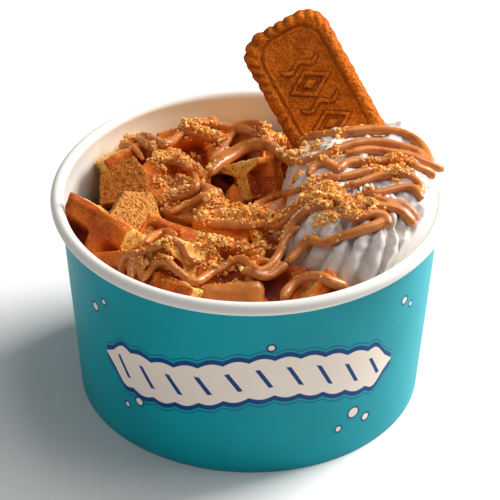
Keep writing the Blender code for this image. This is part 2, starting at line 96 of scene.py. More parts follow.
# Print: a wavy ribbon and dots (along, up, radius), in millimetres along the wall and up it
PRINT_RADIUS = 69.0
RIBBON_MIDDLE = 42.0
RIBBON_WAVE = (4.5, 17.0, 0.9)
RIBBON_HALF = 8.4
RIBBON_SCALLOP = (1.5, 9.5)
RIBBON_REACH = 63.0
RIBBON_END = 13.0
RIBBON_OUTLINE = 2.2
RIBBON_GAP = 0.9
RIBBON_LINE = 0.6
SLOT_PITCH = 11.5
SLOT_LEAN = 0.05
SLOT_HALF = 0.09
SLOT_REACH = 0.52
SLOT_END = 0.45
PRINT_SOFT = 0.25
LINE_SOFT = 0.2
OUTER_FACE = (-0.62, -0.42)
DOTS = [
    (66.0, 62.0, 1.5), (71.0, 57.5, 1.0), (43.0, 20.5, 2.3), (49.5, 15.5, 1.6), (36.5, 15.0, 1.3),
    (-66.0, 58.0, 1.6), (-60.0, 63.5, 1.1), (-45.0, 24.0, 1.7), (-51.5, 19.5, 1.1), (8.0, 61.0, 1.3),
]
DOT_RING = 0.75

# Waffle pieces, cut from a thick waffle with square pockets on both faces
RIDGE = 5.5 * MM
POCKET = 15.0 * MM
PITCH = RIDGE + POCKET
WAFFLE_SIDE = 3 * PITCH + RIDGE
THICK = 20.0 * MM
POCKET_DEPTH = 6.0 * MM
DRAFT = 3.6 * MM
EDGE_ROUND = 0.9 * MM
COATED_FROM = 0.6
COATED_ROUND = 3.0
CRUST = 1.3 * MM
# Height under which the waffle is painted darker, as painted shade deep in the heap
PAINTED_SHADE_TOP = 72.0 * MM
CUT_SKEW = 0.12
CUT_LEAN = 0.14
CUT_BOW = 0.025
CUT_TONE = 0.16
PIECE_CUTS = 25
LOW_PIECE_CUTS = 13

# Name: (place in mm, (width, length), centre of the cut on the waffle's grid, facing, spread on it)
WAFFLE_PIECES = {
    "left_corner": ((-56.5, -19.0, 68.6), (30, 28), (6.5, 1.0), (-38, 40, -6), 0.0),
    "back_left": ((-45.5, 37.0, 66.0), (22, 22), (2.0, 1.0), (32, 34, 8), 0.0),
    "back_slab": ((-22.0, 45.0, 67.5), (25, 23), (1.0, 2.0), (8, 58, 14), 0.0),
    "back_middle": ((-2.0, 50.0, 65.0), (23, 22), (2.0, 4.0), (-30, 34, 20), 0.5),
    "left_middle": ((-31.0, 24.0, 67.5), (23, 22), (-2.0, 3.0), (20, 62, 32), 0.4),
    "middle_coated": ((-21.0, 5.0, 69.5), (20, 18), (4.0, 0.0), (-8, 58, -16), 0.75),
    "porous": ((2.5, 26.5, 70.5), (18, 15), (9.0, 2.0), (62, 30, -26), 0.0),
    "pit_back": ((16.0, 36.0, 62.0), (20, 20), (3.0, 3.0), (-20, 20, 62), 0.0),
    "pit_front": ((-3.0, 17.0, 53.5), (23, 24), (1.0, 3.0), (40, 48, 40), 0.0),
    "crumbed_block": ((-7.5, -9.0, 71.5), (22, 16), (2.0, -3.0), (-15, 60, -10), 0.3),
    "crumbed_slab": ((9.0, -13.0, 71.5), (19, 20), (0.0, 4.0), (14, 66, 12), 0.5),
    "left_slab": ((-31.0, -18.5, 66.8), (20, 16), (2.0, 2.0), (4, 66, -24), 0.2),
    "front_middle": ((-9.0, -38.0, 70.5), (25, 21), (-3.0, 1.0), (8, 56, -16), 0.3),
    "front_left_cut": ((-27.0, -41.5, 72.0), (22, 24), (9.0, 1.0), (-70, 20, 40), 0.0),
    "front_left_low": ((-25.5, -55.5, 69.0), (20, 19), (2.0, 5.0), (-48, 32, 8), 0.0),
    "left_front_rim": ((-44.0, -43.0, 68.0), (24, 24), (3.0, 1.0), (-30, 44, 22), 0.0),
    "dome": ((-6.0, -57.0, 68.5), (24, 20), (0.5, 2.0), (2, 48, 4), 1.0),
    "front_brown": ((9.0, -51.0, 68.5), (23, 22), (2.0, -2.0), (18, 54, -24), 0.0),
    "front_right": ((25.0, -58.0, 68.5), (21, 18), (-2.0, 3.0), (30, 38, 34), 0.0),
}
LOW_PIECES = 16
LOW_PIECE_HEIGHT = (50.0, 56.0)

# Core under the pieces
CORE_TOP = 55.0 * MM
CORE_SIDES = 72
CORE_RINGS = 24
CORE_GAP = 0.4 * MM
CORE_TIP = 0.5 * MM
CORE_SWELL = 2.2 * MM
CORE_SWELL_RUN = (9 * MM, 11 * MM)
CORE_SLOPE = 0.027

# Piped cream
CREAM_CENTRE = Vector((41.0, -7.0, 0.0)) * MM
CREAM_REACH = (31.0 * MM, 50.0 * MM)
CREAM_SQUARENESS = 2.6
CREAM_FULLNESS = 0.5
SHOULDER_SIDE = math.radians(15)
SHOULDER_SQUARENESS = 2.4
SHOULDER_FULLNESS = 0.23
CREAM_BASE = 58.5 * MM
CREAM_FOOT = 64.0 * MM
CREAM_TOP = 98.0 * MM
CREAM_RIDGES = 26
CREAM_RIDGE_COLUMNS = 14
CREAM_RINGS = 120
CREAM_TWIST = 0.55
CREAM_FOLDED_SIDE = math.radians(-112)
CREAM_PEAKED = (14 * MM, 3 * MM)

# Biscuit. The flank is the upright part of its edge, as a share of the ball that it is shaped from
BISCUIT_GRID = (456, 190)
BISCUIT_LENGTH = 61.5 * MM
BISCUIT_WIDTH = 35.4 * MM
BISCUIT_THICK = 6.5 * MM
BISCUIT_CORNER = 9.5 * MM
BISCUIT_FLANK = 0.1
BISCUIT_EDGE = 0.86
FLANK_LOW = 0.9 * MM
FLANK_HIGH = 3.7 * MM
SCALLOP = 4.7 * MM
SCALLOP_DEPTH = 1.0 * MM
SCALLOP_WORN = 0.35
SCALLOP_CRISP_SIDE = math.radians(125)
NOTCH_REACH = (2.4 * MM, 5.0 * MM)
NOTCH_DEPTH = 1.15 * MM
PANEL_SIZE = (12.6 * MM, 26.0 * MM, 8.5 * MM)
PANEL_HEIGHT = 5.5 * MM
PANEL_STROKE = 0.95
PANEL_LOZENGE = (7.4, 4.6)
PANEL_LOZENGES = (-13.0, 4.0)
PANEL_WAVES = (-20.5, -4.5, 12.0)
PANEL_WAVE_REACH = 7.2
PANEL_WAVE_HEIGHT = 1.1
PANEL_WAVE_RUN = 4.6
PANEL_RELIEF = 1.1
BORDER_RELIEF = 0.45
BISCUIT_PLACE = ((24.3, 41.0, 101.0), (-1, 32, 30))

# Section of the biscuit's crown and back: distances in from its edge and the heights there, in mm
CROWN_INWARD = [0, 0.5, 1.4, 2.4, 3.4, 4.6]
CROWN_HEIGHT = [3.7, 5.0, 6.2, 6.8, 6.9, 6.6]
BACK_INWARD = [0, 0.6, 1.2]
BACK_HEIGHT = [0.9, 0.2, 0.0]

# Broken biscuit: corners in plan, in millimetres, place, facing and paleness
BROKEN_GRID = (200, 120)
BROKEN_FLANK = 0.38
BROKEN_THICK = 7.5 * MM
BROKEN_BISCUITS = {
    "broken_biscuit_back": (
        [(-10.5, -6.0), (6.5, -9.5), (10.5, -1.0), (7.0, 8.0), (-7.5, 5.0)],
        (-48.2, 15.5, 75.5),
        (-16, 50, 30),
        0.35,
    ),
    "broken_biscuit_front": (
        [(-10.5, -5.0), (6.5, -9.0), (11.0, -1.5), (5.5, 9.0), (-5.5, 7.0)],
        (-43.8, -11.0, 79.4),
        (40, 47, -36),
        0.8,
    ),
}

# Camera at the photograph's viewing angle
PHOTO_SIZE = 500
CAMERA_PLACE = Vector((0.0, -1.0011, 0.7447))
CAMERA_DOWN = 34.52
CAMERA_ROLL = 0.486
CAMERA_LENS = 230.6
CAMERA_SENSOR = 36.0

# Lights of the studio: size, place and tint
LIGHTS = {
    "key": (0.5, (0.72, 0.42, 0.60), (1.0, 0.98, 0.95)),
    "fill": (0.7, (-0.75, -0.55, 0.55), (1.0, 0.99, 0.98)),
    "top": (0.6, (0.35, 0.05, 1.05), (1.0, 1.0, 1.0)),
}
LIGHT_AIM = (0.0, 0.0, 0.07)
FLOOR_SIZE = 6.0

# Food that carries the spread and the crumbs, and the record's slot of each node's food
FOOD = ("waffle_pieces", "waffle_pieces_below", "waffle_core", "cream_mound")
SLOTS = {"waffle_heap": "waffle", "cream": "cream"}

# Shape of a strand: lift, tips and waviness as shares of its radius
CURVE_PARTS = 4
EASE_REACH = 3
STRAND_LIFT = 0.65
STRAND_TIP = 0.6
STRAND_TIP_RISE = 0.2
STRAND_WAVE = 0.10
STRAND_WAVE_TURN = 0.35
SPREAD_VOXEL = 0.5 * MM
SPREAD_PASSES = 4

# Drizzled strands: pixels of the photograph that they pass through, and thickness in mm
STRANDS_ON_CREAM = [
    ([(294, 143), (302, 135), (313, 133), (334, 135), (356, 131), (378, 130), (399, 132), (421, 132),
      (430, 137), (432, 143)], 4.0),
    ([(435, 150), (421, 152), (410, 149), (388, 143), (372, 142), (356, 144), (341, 148), (331, 152),
      (316, 158), (296, 163)], 3.8),
    ([(444, 161), (432, 161), (405, 154), (383, 151), (367, 150), (345, 154)], 3.4),
    ([(308, 176), (313, 167), (323, 163), (331, 165), (338, 169), (345, 164), (356, 162), (367, 162),
      (388, 161), (408, 161), (418, 168), (430, 173), (433, 178)], 3.6),
    ([(306, 187), (316, 180), (327, 176), (336, 178), (351, 175), (362, 172), (374, 169)], 3.2),
    ([(345, 186), (361, 182), (378, 176), (399, 174), (410, 176), (420, 185), (423, 193)], 3.4),
    ([(365, 192), (378, 193), (394, 189), (408, 187), (417, 191), (422, 199)], 3.2),
    ([(373, 198), (388, 201), (403, 205), (412, 212), (417, 220)], 3.2),
    ([(351, 210), (367, 207), (383, 206), (399, 210), (408, 218), (415, 225)], 3.3),
    ([(280, 240), (294, 223), (307, 212), (317, 207), (332, 208)], 3.4),
    ([(342, 215), (356, 218), (372, 214), (384, 216), (390, 225)], 3.6),
    ([(288, 262), (296, 254), (304, 245), (310, 240), (323, 243), (341, 237), (356, 232), (372, 227),
      (383, 223), (390, 226)], 3.9),
    ([(280, 219), (291, 210), (307, 203), (316, 198), (330, 199), (344, 203)], 3.4),
    ([(306, 187), (294, 192), (284, 194), (274, 197), (265, 201), (254, 205)], 3.2),
]
STRANDS_ON_HEAP = [
    ([(209, 174), (219, 164), (231, 157), (241, 151), (250, 146), (260, 144), (270, 147), (279, 153),
      (289, 159), (297, 162)], 4.6),
    ([(212, 168), (222, 158), (234, 150), (246, 143), (258, 140), (268, 143), (280, 149)], 3.2),
    ([(211, 162), (217, 154), (225, 144), (231, 135), (236, 130), (242, 129), (250, 131), (260, 136),
      (273, 141), (284, 143), (294, 144)], 3.6),
    ([(150, 137), (156, 141), (161, 144), (167, 144), (173, 141), (179, 135), (184, 131), (193, 131),
      (204, 135), (217, 139), (227, 140)], 3.6),
    ([(182, 129), (190, 124), (200, 123), (212, 124), (227, 127), (234, 126), (246, 123), (254, 122),
      (263, 126), (270, 130)], 3.6),
    ([(120, 141), (126, 136), (134, 135), (141, 140), (148, 146), (155, 151)], 3.2),
    ([(134, 132), (143, 131), (150, 136), (158, 141), (166, 142), (172, 139)], 2.9),
    ([(121, 145), (129, 145), (137, 151), (143, 160)], 2.7),
    ([(161, 162), (172, 161), (183, 164), (192, 169)], 3.4),
    ([(150, 208), (160, 205), (174, 198), (188, 193), (195, 188), (196, 180), (193, 173)], 3.4),
    ([(169, 213), (182, 207), (196, 200), (207, 193)], 3.2),
    ([(142, 281), (149, 273), (156, 263), (167, 262), (174, 268), (182, 274), (188, 279), (196, 282),
      (204, 278), (211, 273), (223, 268), (233, 261), (242, 259), (250, 264), (258, 270), (267, 268),
      (273, 262), (279, 254), (284, 242), (292, 232), (300, 227)], 3.2),
    ([(128, 257), (136, 254), (151, 249), (160, 246), (169, 241), (178, 242), (184, 249), (188, 257),
      (195, 261), (202, 262)], 3.2),
    ([(145, 243), (152, 237), (160, 234), (168, 232), (176, 235)], 3.4),
    ([(241, 271), (251, 272), (260, 276), (270, 276), (279, 270), (288, 262)], 3.4),
    ([(283, 299), (288, 290), (297, 282), (307, 277), (320, 277), (331, 282), (341, 285), (347, 286)], 4.2),
    ([(207, 224), (222, 224), (236, 225), (250, 226), (265, 224), (277, 225), (286, 220), (294, 211),
      (300, 206)], 3.4),
    ([(121, 276), (122, 266), (125, 257), (131, 254)], 3.2),
    ([(131, 280), (131, 270), (133, 260), (138, 254)], 3.2),
    ([(143, 282), (141, 272), (140, 262), (141, 253)], 3.0),
]

# Crumb clusters: the photograph's pixel at their middle, their spread in mm and their grains
CLUSTERS = [
    ((183, 124), 4.0, 90), ((196, 127), 4.5, 120), ((208, 131), 4.5, 130), ((218, 137), 3.0, 60),
    ((128, 135), 3.0, 50), ((152, 147), 3.5, 90), ((158, 156), 4.0, 120), ((166, 166), 4.5, 130),
    ((177, 155), 4.5, 160), ((190, 158), 4.5, 150), ((199, 164), 4.0, 120), ((206, 170), 4.0, 120),
    ((160, 178), 3.5, 80), ((172, 193), 4.5, 150), ((184, 188), 3.5, 90), ((163, 200), 3.5, 80),
    ((212, 198), 4.5, 150), ((222, 206), 5.0, 200), ((234, 208), 5.0, 200), ((246, 212), 5.0, 190),
    ((258, 213), 4.5, 150), ((270, 214), 4.0, 110), ((205, 216), 4.0, 100), ((277, 219), 3.5, 70),
    ((198, 238), 4.0, 90), ((212, 244), 4.2, 120), ((226, 246), 3.8, 80), ((240, 250), 3.6, 70),
    ((253, 236), 4.5, 170), ((264, 243), 5.0, 180), ((272, 236), 4.0, 100), ((258, 254), 4.0, 100),
    ((160, 253), 3.5, 80), ((168, 250), 3.5, 70), ((213, 261), 3.2, 80), ((223, 256), 3.0, 50),
    ((236, 273), 2.6, 70), ((288, 120), 3.5, 80),
    ((276, 135), 4.5, 130), ((266, 131), 4.0, 90), ((288, 147), 4.0, 120), ((296, 153), 4.5, 140),
    ((304, 143), 3.0, 60), ((315, 147), 3.5, 90), ((336, 150), 3.0, 60), ((326, 158), 3.0, 60),
    ((310, 184), 4.0, 110), ((322, 188), 5.0, 190), ((334, 190), 5.0, 210), ((344, 196), 4.5, 180),
    ((316, 198), 5.0, 190), ((330, 202), 5.0, 180), ((302, 200), 4.0, 110), ((298, 172), 3.5, 80),
    ((334, 214), 4.0, 130), ((346, 206), 4.0, 110), ((356, 212), 3.0, 70), ((318, 222), 3.0, 60),
    ((372, 163), 3.5, 90), ((380, 168), 3.5, 100), ((392, 160), 4.0, 150), ((402, 164), 4.0, 150),
    ((396, 172), 3.5, 90), ((362, 192), 3.5, 90), ((372, 204), 3.0, 70), ((360, 200), 3.0, 70),
    ((338, 133), 2.5, 30), ((142, 262), 2.5, 40),
]
CLUSTER_TONE = (0.57, 0.24)
CLUSTER_PILE = 2.0

# Crumb lumps: their pixel across and down, and their width in mm
LUMPS = [
    (262, 240, 4.6), (252, 233, 3.0), (272, 247, 3.2), (398, 160, 4.2), (392, 167, 2.8), (378, 165, 3.0),
    (224, 201, 3.0), (238, 205, 2.6), (205, 245, 2.6), (330, 186, 3.0), (338, 194, 2.6), (320, 200, 2.6),
    (196, 160, 2.6), (176, 158, 2.4), (212, 264, 2.4), (244, 246, 2.4), (334, 215, 2.8), (296, 152, 2.4),
]
LUMP_GRAINS = 26
LUMP_SPREAD = 0.26
LUMP_TONE = (0.3, 0.15)

# Loose grains, and the part of the photograph that they fall on
LOOSE_GRAINS = 700
LOOSE_ACROSS = (115, 340)
LOOSE_DOWN = (125, 285)
LOOSE_TONE = (0.5, 0.2)


# Properties


def length(name, description, millimetres):
    return FloatProperty(
        name=name, description=description, default=millimetres * MM, min=0.0, unit="LENGTH", precision=5
    )


def colour(name, description, default):
    return FloatVectorProperty(
        name=name, description=description, default=default, min=0.0, max=1.0, size=3, subtype="COLOR"
    )


class DESSERT_PG_tub(bpy.types.PropertyGroup):
    """Sizes and colours of the paper tub."""

    bead: length("Rim bead", "Radius of the rolled rim", 2.5)
    dent: length("Paper dents", "How far the paper strays from a true cone", 0.18)
    teal: colour("Print", "Ground colour of the print", (0.0, 0.36, 0.43))
    navy: colour("Outline", "Colour of the ribbon's outline", (0.003, 0.055, 0.22))
    ribbon: colour("Ribbon", "Colour of the ribbon and the dots", (0.96, 0.83, 0.72))
    paper: colour("Paper", "Colour of the bare paper", (0.86, 0.83, 0.78))


class DESSERT_PG_waffle(bpy.types.PropertyGroup):
    """Relief and colours of the waffle pieces."""

    pores: length("Crumb relief", "Depth of the open crumb on the cut faces", 0.9)
    # crumb and crumb_shade: lit and shaded copies of the crumb colour
    crumb: colour("Crumb", "Lit colour of the crumb", (0.95, 0.56, 0.15))
    crumb_shade: colour("Crumb shade", "Darker colour of the crumb", (0.74, 0.29, 0.035))
    # pore: painted shade down in the crumb's holes
    pore_shade: colour("Pores", "Colour down in the crumb's holes", (0.30, 0.075, 0.010))
    # Pale and dark crust: partly toasting, partly painted highlight along the ridges and painted shade down
    # in the pockets
    pale: colour("Pale crust", "Crust along the ridges", (0.78, 0.20, 0.013))
    crust: colour("Crust", "Colour of most of the crust", (0.42, 0.056, 0.004))
    dark: colour("Dark crust", "Crust down in the pockets", (0.20, 0.018, 0.002))
    # core: near-black colour that stands in for the shade deep in the heap, as painted shade
    core: colour("Core", "Colour of the packed waffle below", (0.045, 0.008, 0.003))


class DESSERT_PG_cream(bpy.types.PropertyGroup):
    """Folds and colours of the piped cream."""

    fold: length("Fold depth", "Depth of the folds that the nozzle leaves", 3.0)
    peak: length("Peaks", "Height of the ragged peaks on top", 4.4)
    white: colour("Cream", "Lit colour of the cream", (0.715, 0.66, 0.62))
    shade: colour("Fold shade", "Colour down in the folds", (0.56, 0.46, 0.42))


class DESSERT_PG_spread(bpy.types.PropertyGroup):
    """Colours of the biscuit spread and the crumbs."""

    caramel: colour("Spread", "Colour of the drizzled spread", (0.63, 0.215, 0.045))
    deep: colour("Deep spread", "Darker streaks in the spread", (0.42, 0.105, 0.014))
    gold: colour("Crumb gold", "Colour of most grains", (0.98, 0.41, 0.055))
    light: colour("Crumb light", "Colour of the palest grains", (1.0, 0.66, 0.27))
    brown: colour("Crumb brown", "Colour of the darkest grains", (0.52, 0.13, 0.010))


class DESSERT_PG_biscuit(bpy.types.PropertyGroup):
    """Relief and colours of the biscuits."""

    grain: length("Grain", "Height of the baked grain", 0.30)
    caramel: colour("Biscuit", "Colour of the biscuit's face", (0.70, 0.145, 0.004))
    # light: the sugar grains' colour, partly standing in for glints as painted highlight
    light: colour("Biscuit light", "Colour of the sugar grains", (0.98, 0.44, 0.065))
    broken: colour("Broken biscuit", "Colour of the biscuit's inside", (0.78, 0.36, 0.095))
    # dark: painted shade in the grooves, notches and pores, and the darker edge and baked blotches
    dark: colour("Biscuit dark", "Colour of the grooves and the edge", (0.15, 0.020, 0.003))


class DESSERT_PG_stage(bpy.types.PropertyGroup):
    """Light and ground of the studio."""

    key: FloatProperty(name="Key", description="Power of the light at the right", default=16.5, unit="POWER")
    fill: FloatProperty(name="Fill", description="Power of the light at the left", default=1.3, unit="POWER")
    top: FloatProperty(name="Top", description="Power of the light overhead", default=4.2, unit="POWER")
    world: FloatProperty(name="World", description="Strength of the light all round", default=0.15, min=0.0)
    ground: colour("Ground", "Colour of the floor", (0.90, 0.90, 0.90))
    seed: IntProperty(name="Seed", description="Draw of the crumbs and the cuts", default=7, min=0)


GROUPS = {
    "dessert_tub": DESSERT_PG_tub,
    "dessert_waffle": DESSERT_PG_waffle,
    "dessert_cream": DESSERT_PG_cream,
    "dessert_spread": DESSERT_PG_spread,
    "dessert_biscuit": DESSERT_PG_biscuit,
    "dessert_stage": DESSERT_PG_stage,
}


def chosen(group):
    """The scene's values of a property group."""
    return getattr(bpy.context.scene, "dessert_" + group)


# Shader sums


class Wire:
    """A node's output that takes part in Python sums."""

    def __init__(self, board, socket):
        self.board = board
        self.socket = socket

    def __add__(self, other):
        return self.board.sum("ADD", self, other)

    def __radd__(self, other):
        return self.board.sum("ADD", other, self)

    def __sub__(self, other):
        return self.board.sum("SUBTRACT", self, other)

    def __rsub__(self, other):
        return self.board.sum("SUBTRACT", other, self)

    def __mul__(self, other):
        return self.board.sum("MULTIPLY", self, other)

    def __truediv__(self, other):
        return self.board.sum("DIVIDE", self, other)

    def __abs__(self):
        return self.board.sum("ABSOLUTE", self)


class Board:
    """One material's nodes."""

    def __init__(self, name):
        self.material = bpy.data.materials.new(name)
        self.material.use_nodes = True
        self.tree = self.material.node_tree
        self.shader = self.tree.nodes["Principled BSDF"]
        self.where = self.node("ShaderNodeTexCoord", output="Object")

    def node(self, kind, settings=None, values=None, output=0):
        """Adds a node of a type, with its settings, then its sockets' values or links."""
        made = self.tree.nodes.new(kind)
        for key, value in (settings or {}).items():
            if key == "stops":
                self.set_stops(made.color_ramp, value)
            else:
                setattr(made, key, value)
        for key, value in (values or {}).items():
            self.feed(made.inputs[key], value)
        return Wire(self, made.outputs[output])

    def set_stops(self, ramp, stops):
        while len(ramp.elements) < len(stops):
            ramp.elements.new(0.5)
        for element, (position, tint) in zip(ramp.elements, stops):
            element.position = position
            element.color = (*tint, 1.0)

    def feed(self, socket, value):
        if isinstance(value, Wire):
            self.tree.links.new(value.socket, socket)
        elif socket.type == "RGBA":
            socket.default_value = (*tuple(value)[:3], 1.0)
        else:
            socket.default_value = value

    def sum(self, operation, *terms):
        vector = any(isinstance(term, Wire) and term.socket.type == "VECTOR" for term in terms)
        kind = "ShaderNodeVectorMath" if vector else "ShaderNodeMath"
        return self.node(kind, {"operation": operation}, dict(enumerate(terms)))

    def mix(self, first, second, factor):
        values = {0: factor, 6: first, 7: second}
        return self.node("ShaderNodeMix", {"data_type": "RGBA"}, values, output=2)

    def rise(self, value, low, high):
        """Goes smoothly from 0 to 1 as a value goes from low to high."""
        settings = {"interpolation_type": "SMOOTHSTEP"}
        return self.node("ShaderNodeMapRange", settings, {"Value": value, "From Min": low, "From Max": high})

    def clouds(self, size, detail=2.0, roughness=0.5):
        """Noise whose lumps are about a size in millimetres."""
        values = {"Vector": self.where, "Scale": 1 / (size * MM), "Detail": detail, "Roughness": roughness}
        return self.node("ShaderNodeTexNoise", None, values)

    def holes(self, size, sway, low, high):
        """Round holes about a size in millimetres, 1 in their middle, whose places sway by a noise."""
        values = {"Vector": self.where + sway, "Scale": 1 / (size * MM)}
        return self.rise(self.node("ShaderNodeTexVoronoi", None, values), low, high)

    def ramp(self, value, stops):
        return self.node("ShaderNodeValToRGB", {"stops": stops}, {0: value})

    def attribute(self, name):
        return self.node("ShaderNodeAttribute", {"attribute_name": name}, output="Fac")

    def parts(self, vector):
        split = self.node("ShaderNodeSeparateXYZ", None, {0: vector})
        return [Wire(self, split.socket.node.outputs[axis]) for axis in range(3)]

    def bump(self, height, millimetres, strength=1.0):
        values = {"Height": height, "Distance": millimetres * MM, "Strength": strength}
        return self.node("ShaderNodeBump", None, values)

    def finish(self, **sockets):
        """Feeds the shader's sockets, whose names are given with underscores, and gives the material."""
        inputs = {socket.name.lower(): socket for socket in self.shader.inputs}
        for name, value in sockets.items():
            self.feed(inputs[name.replace("_", " ")], value)
        return self.material


# Materials


def dimmed(tint, share):
    return [part * share for part in tint]


def printed_paper():
    """Satin teal print with a wavy ribbon and dots outside, bare white paper inside and on the rim."""
    picked = chosen("tub")
    board = Board("printed_paper")
    x, y, z = board.parts(board.where)
    height = z / MM
    side = board.sum("SIGN", y)
    angle = board.sum("ARCTAN2", x * side * -1.0, abs(y))
    along = angle * PRINT_RADIUS

    lift, run, start = RIBBON_WAVE
    middle = board.sum("SINE", along / run + start) * lift + RIBBON_MIDDLE
    puff, pitch = RIBBON_SCALLOP
    scallop = abs(board.sum("SINE", along * (math.pi / pitch))) * puff
    taper = board.rise(abs(along), RIBBON_REACH, RIBBON_REACH - RIBBON_END)
    half = (scallop + RIBBON_HALF) * taper
    offset = height - middle
    edge = abs(offset) - half
    slot = abs(board.sum("FRACT", along / SLOT_PITCH + offset * SLOT_LEAN) - 0.5)
    slots = board.rise(slot, SLOT_HALF, SLOT_HALF * 0.8)
    slots = slots * board.rise(abs(offset), half * SLOT_REACH, half * SLOT_END)
    shown = board.rise(taper, 0.04, 0.08)

    fill = board.rise(edge, 0.0, -PRINT_SOFT) * shown * (1.0 - slots)
    outline = board.rise(edge, RIBBON_OUTLINE, RIBBON_OUTLINE - PRINT_SOFT) * shown
    line_middle = RIBBON_OUTLINE + RIBBON_GAP + RIBBON_LINE / 2
    line = board.rise(abs(edge - line_middle), RIBBON_LINE / 2, RIBBON_LINE / 2 - LINE_SOFT) * shown

    fibre = board.clouds(0.7, 4.0, 0.6)
    tone = board.clouds(30.0, 2.0)
    ground = board.mix(picked.teal, dimmed(picked.teal, 0.86), board.rise(tone, 0.3, 0.7))
    print_ink = board.mix(ground, picked.navy, line)
    print_ink = board.mix(print_ink, picked.navy, outline)
    print_ink = board.mix(print_ink, picked.ribbon, fill)
    for u, v, radius in DOTS:
        across, up = along - u, height - v
        reach = board.sum("SQRT", across * across + up * up)
        ring = radius + DOT_RING
        print_ink = board.mix(print_ink, picked.navy, board.rise(reach, ring, ring - PRINT_SOFT))
        print_ink = board.mix(print_ink, picked.ribbon, board.rise(reach, radius, radius - PRINT_SOFT))

    radius = board.sum("SQRT", x * x + y * y) / MM
    wall = height * ((NECK_RADIUS - FOOT_RADIUS) / NECK_HEIGHT) + FOOT_RADIUS / MM
    neck = NECK_HEIGHT / MM
    outside = board.rise(radius - wall, *OUTER_FACE) * board.rise(height, neck + PRINT_SOFT, neck)
    outside = outside * board.rise(height, 0.05, 0.3)
    paper = board.mix(picked.paper, dimmed(picked.paper, 0.93), fibre)
    base = board.mix(paper, print_ink, outside)
    return board.finish(
        base_color=base,
        roughness=0.55 - outside * 0.13 + fibre * 0.08,
        coat_weight=outside * 0.03,
        coat_roughness=0.3,
        specular_ior_level=0.14,
        normal=board.bump(fibre, 0.02, 0.6),
    )


def white_paper():
    """Bare board with faint fibres, for the tub's floor."""
    picked = chosen("tub")
    board = Board("white_paper")
    fibre = board.clouds(0.8, 4.0, 0.6)
    base = board.mix(picked.paper, dimmed(picked.paper, 0.9), fibre)
    return board.finish(base_color=base, roughness=0.55 + fibre * 0.1, normal=board.bump(fibre, 0.03))


def toasted_waffle():
    """Yellow open crumb where a piece is cut, orange-brown crust outside, and spread where it is coated."""
    picked, spread = chosen("waffle"), chosen("spread")
    board = Board("toasted_waffle")
    toast = board.attribute("toast")
    coat = board.attribute("coat")
    fine = board.clouds(0.55, 3.0, 0.65)
    grain = board.clouds(1.5, 3.0, 0.6)
    blotch = board.clouds(7.0, 3.0, 0.55)
    hole = board.holes(1.9, board.clouds(1.5) * 0.0009, 0.27, 0.12)

    # Lit and shaded crumb colours, mixed in random patches: painted light and shade
    crumb = board.mix(picked.crumb, picked.crumb_shade, board.rise(grain * 0.6 + blotch * 0.4, 0.42, 0.66))
    # Painted shade down in the crumb's holes
    crumb = board.mix(crumb, picked.pore_shade, hole * 0.7)
    # Crust from pale to dark: toasting and random tone, with painted highlight on the ridges and painted
    # shade in the pockets
    depth = toast + (blotch - 0.5) * 0.9 + (fine - 0.5) * 0.7 + (grain - 0.5) * 0.5
    crust = board.ramp(depth, [(0.22, picked.pale), (0.58, picked.crust), (0.98, picked.dark)])
    crusted = board.rise(toast + (grain - 0.5) * 0.12, 0.12, 0.26)
    base = board.mix(crumb, crust, crusted)
    coated = board.rise(coat + (blotch - 0.5) * 0.6, 0.52, 0.60)
    base = board.mix(base, board.mix(spread.caramel, spread.deep, grain), coated)
    height = board.parts(board.where)[2]
    # Painted shade: below that height the waffle goes towards the near-black core colour
    painted_low_shade = board.rise(height + (blotch - 0.5) * 0.006, PAINTED_SHADE_TOP, PAINTED_SHADE_TOP - 15 * MM)
    base = board.mix(base, picked.core, painted_low_shade * 0.82)
    rough = (0.85 - crusted * 0.32) + (fine - 0.5) * 0.3
    relief = (fine * 0.5 + grain * 0.5 - hole * (1.0 - crusted) * 1.2) * (1.0 - coated * 0.85)
    return board.finish(
        base_color=base,
        roughness=rough - coated * 0.25,
        specular_ior_level=0.22,
        coat_weight=coated * 0.3,
        coat_roughness=0.22,
        subsurface_weight=0.08,
        subsurface_radius=(0.6, 0.25, 0.1),
        subsurface_scale=0.003,
        normal=board.bump(relief, 0.45, 0.9),
    )


def packed_waffle():
    """Painted shade: near-black crumb colour deep between the pieces, where the heap lies in shade."""
    picked = chosen("waffle")
    board = Board("packed_waffle")
    grain = board.clouds(2.2, 4.0, 0.65)
    blotch = board.clouds(8.0)
    base = board.mix(picked.core, picked.dark, board.rise(grain * 0.5 + blotch * 0.5, 0.45, 0.7))
    return board.finish(
        base_color=base,
        roughness=0.6 + grain * 0.2,
        specular_ior_level=0.2,
        normal=board.bump(grain, 0.6),
    )


def whipped_cream():
    """Soft white cream, painted a little darker and pinker down in its folds as painted shade, with fine
    foam.
    """
    picked = chosen("cream")
    board = Board("whipped_cream")
    foam = board.clouds(0.5, 3.0, 0.6)
    soft = board.clouds(5.0, 2.0)
    fold = board.attribute("fold")
    # Painted shade down in the folds
    shade = board.rise(fold + (soft - 0.5) * 0.3, 0.15, 1.0)
    base = board.mix(picked.white, picked.shade, shade * 0.5)
    return board.finish(
        base_color=base,
        roughness=0.42 + foam * 0.16,
        subsurface_weight=0.35,
        subsurface_radius=(1.0, 0.8, 0.7),
        subsurface_scale=0.0025,
        normal=board.bump(foam * 0.7 + soft * 0.3, 0.22, 0.8),
    )


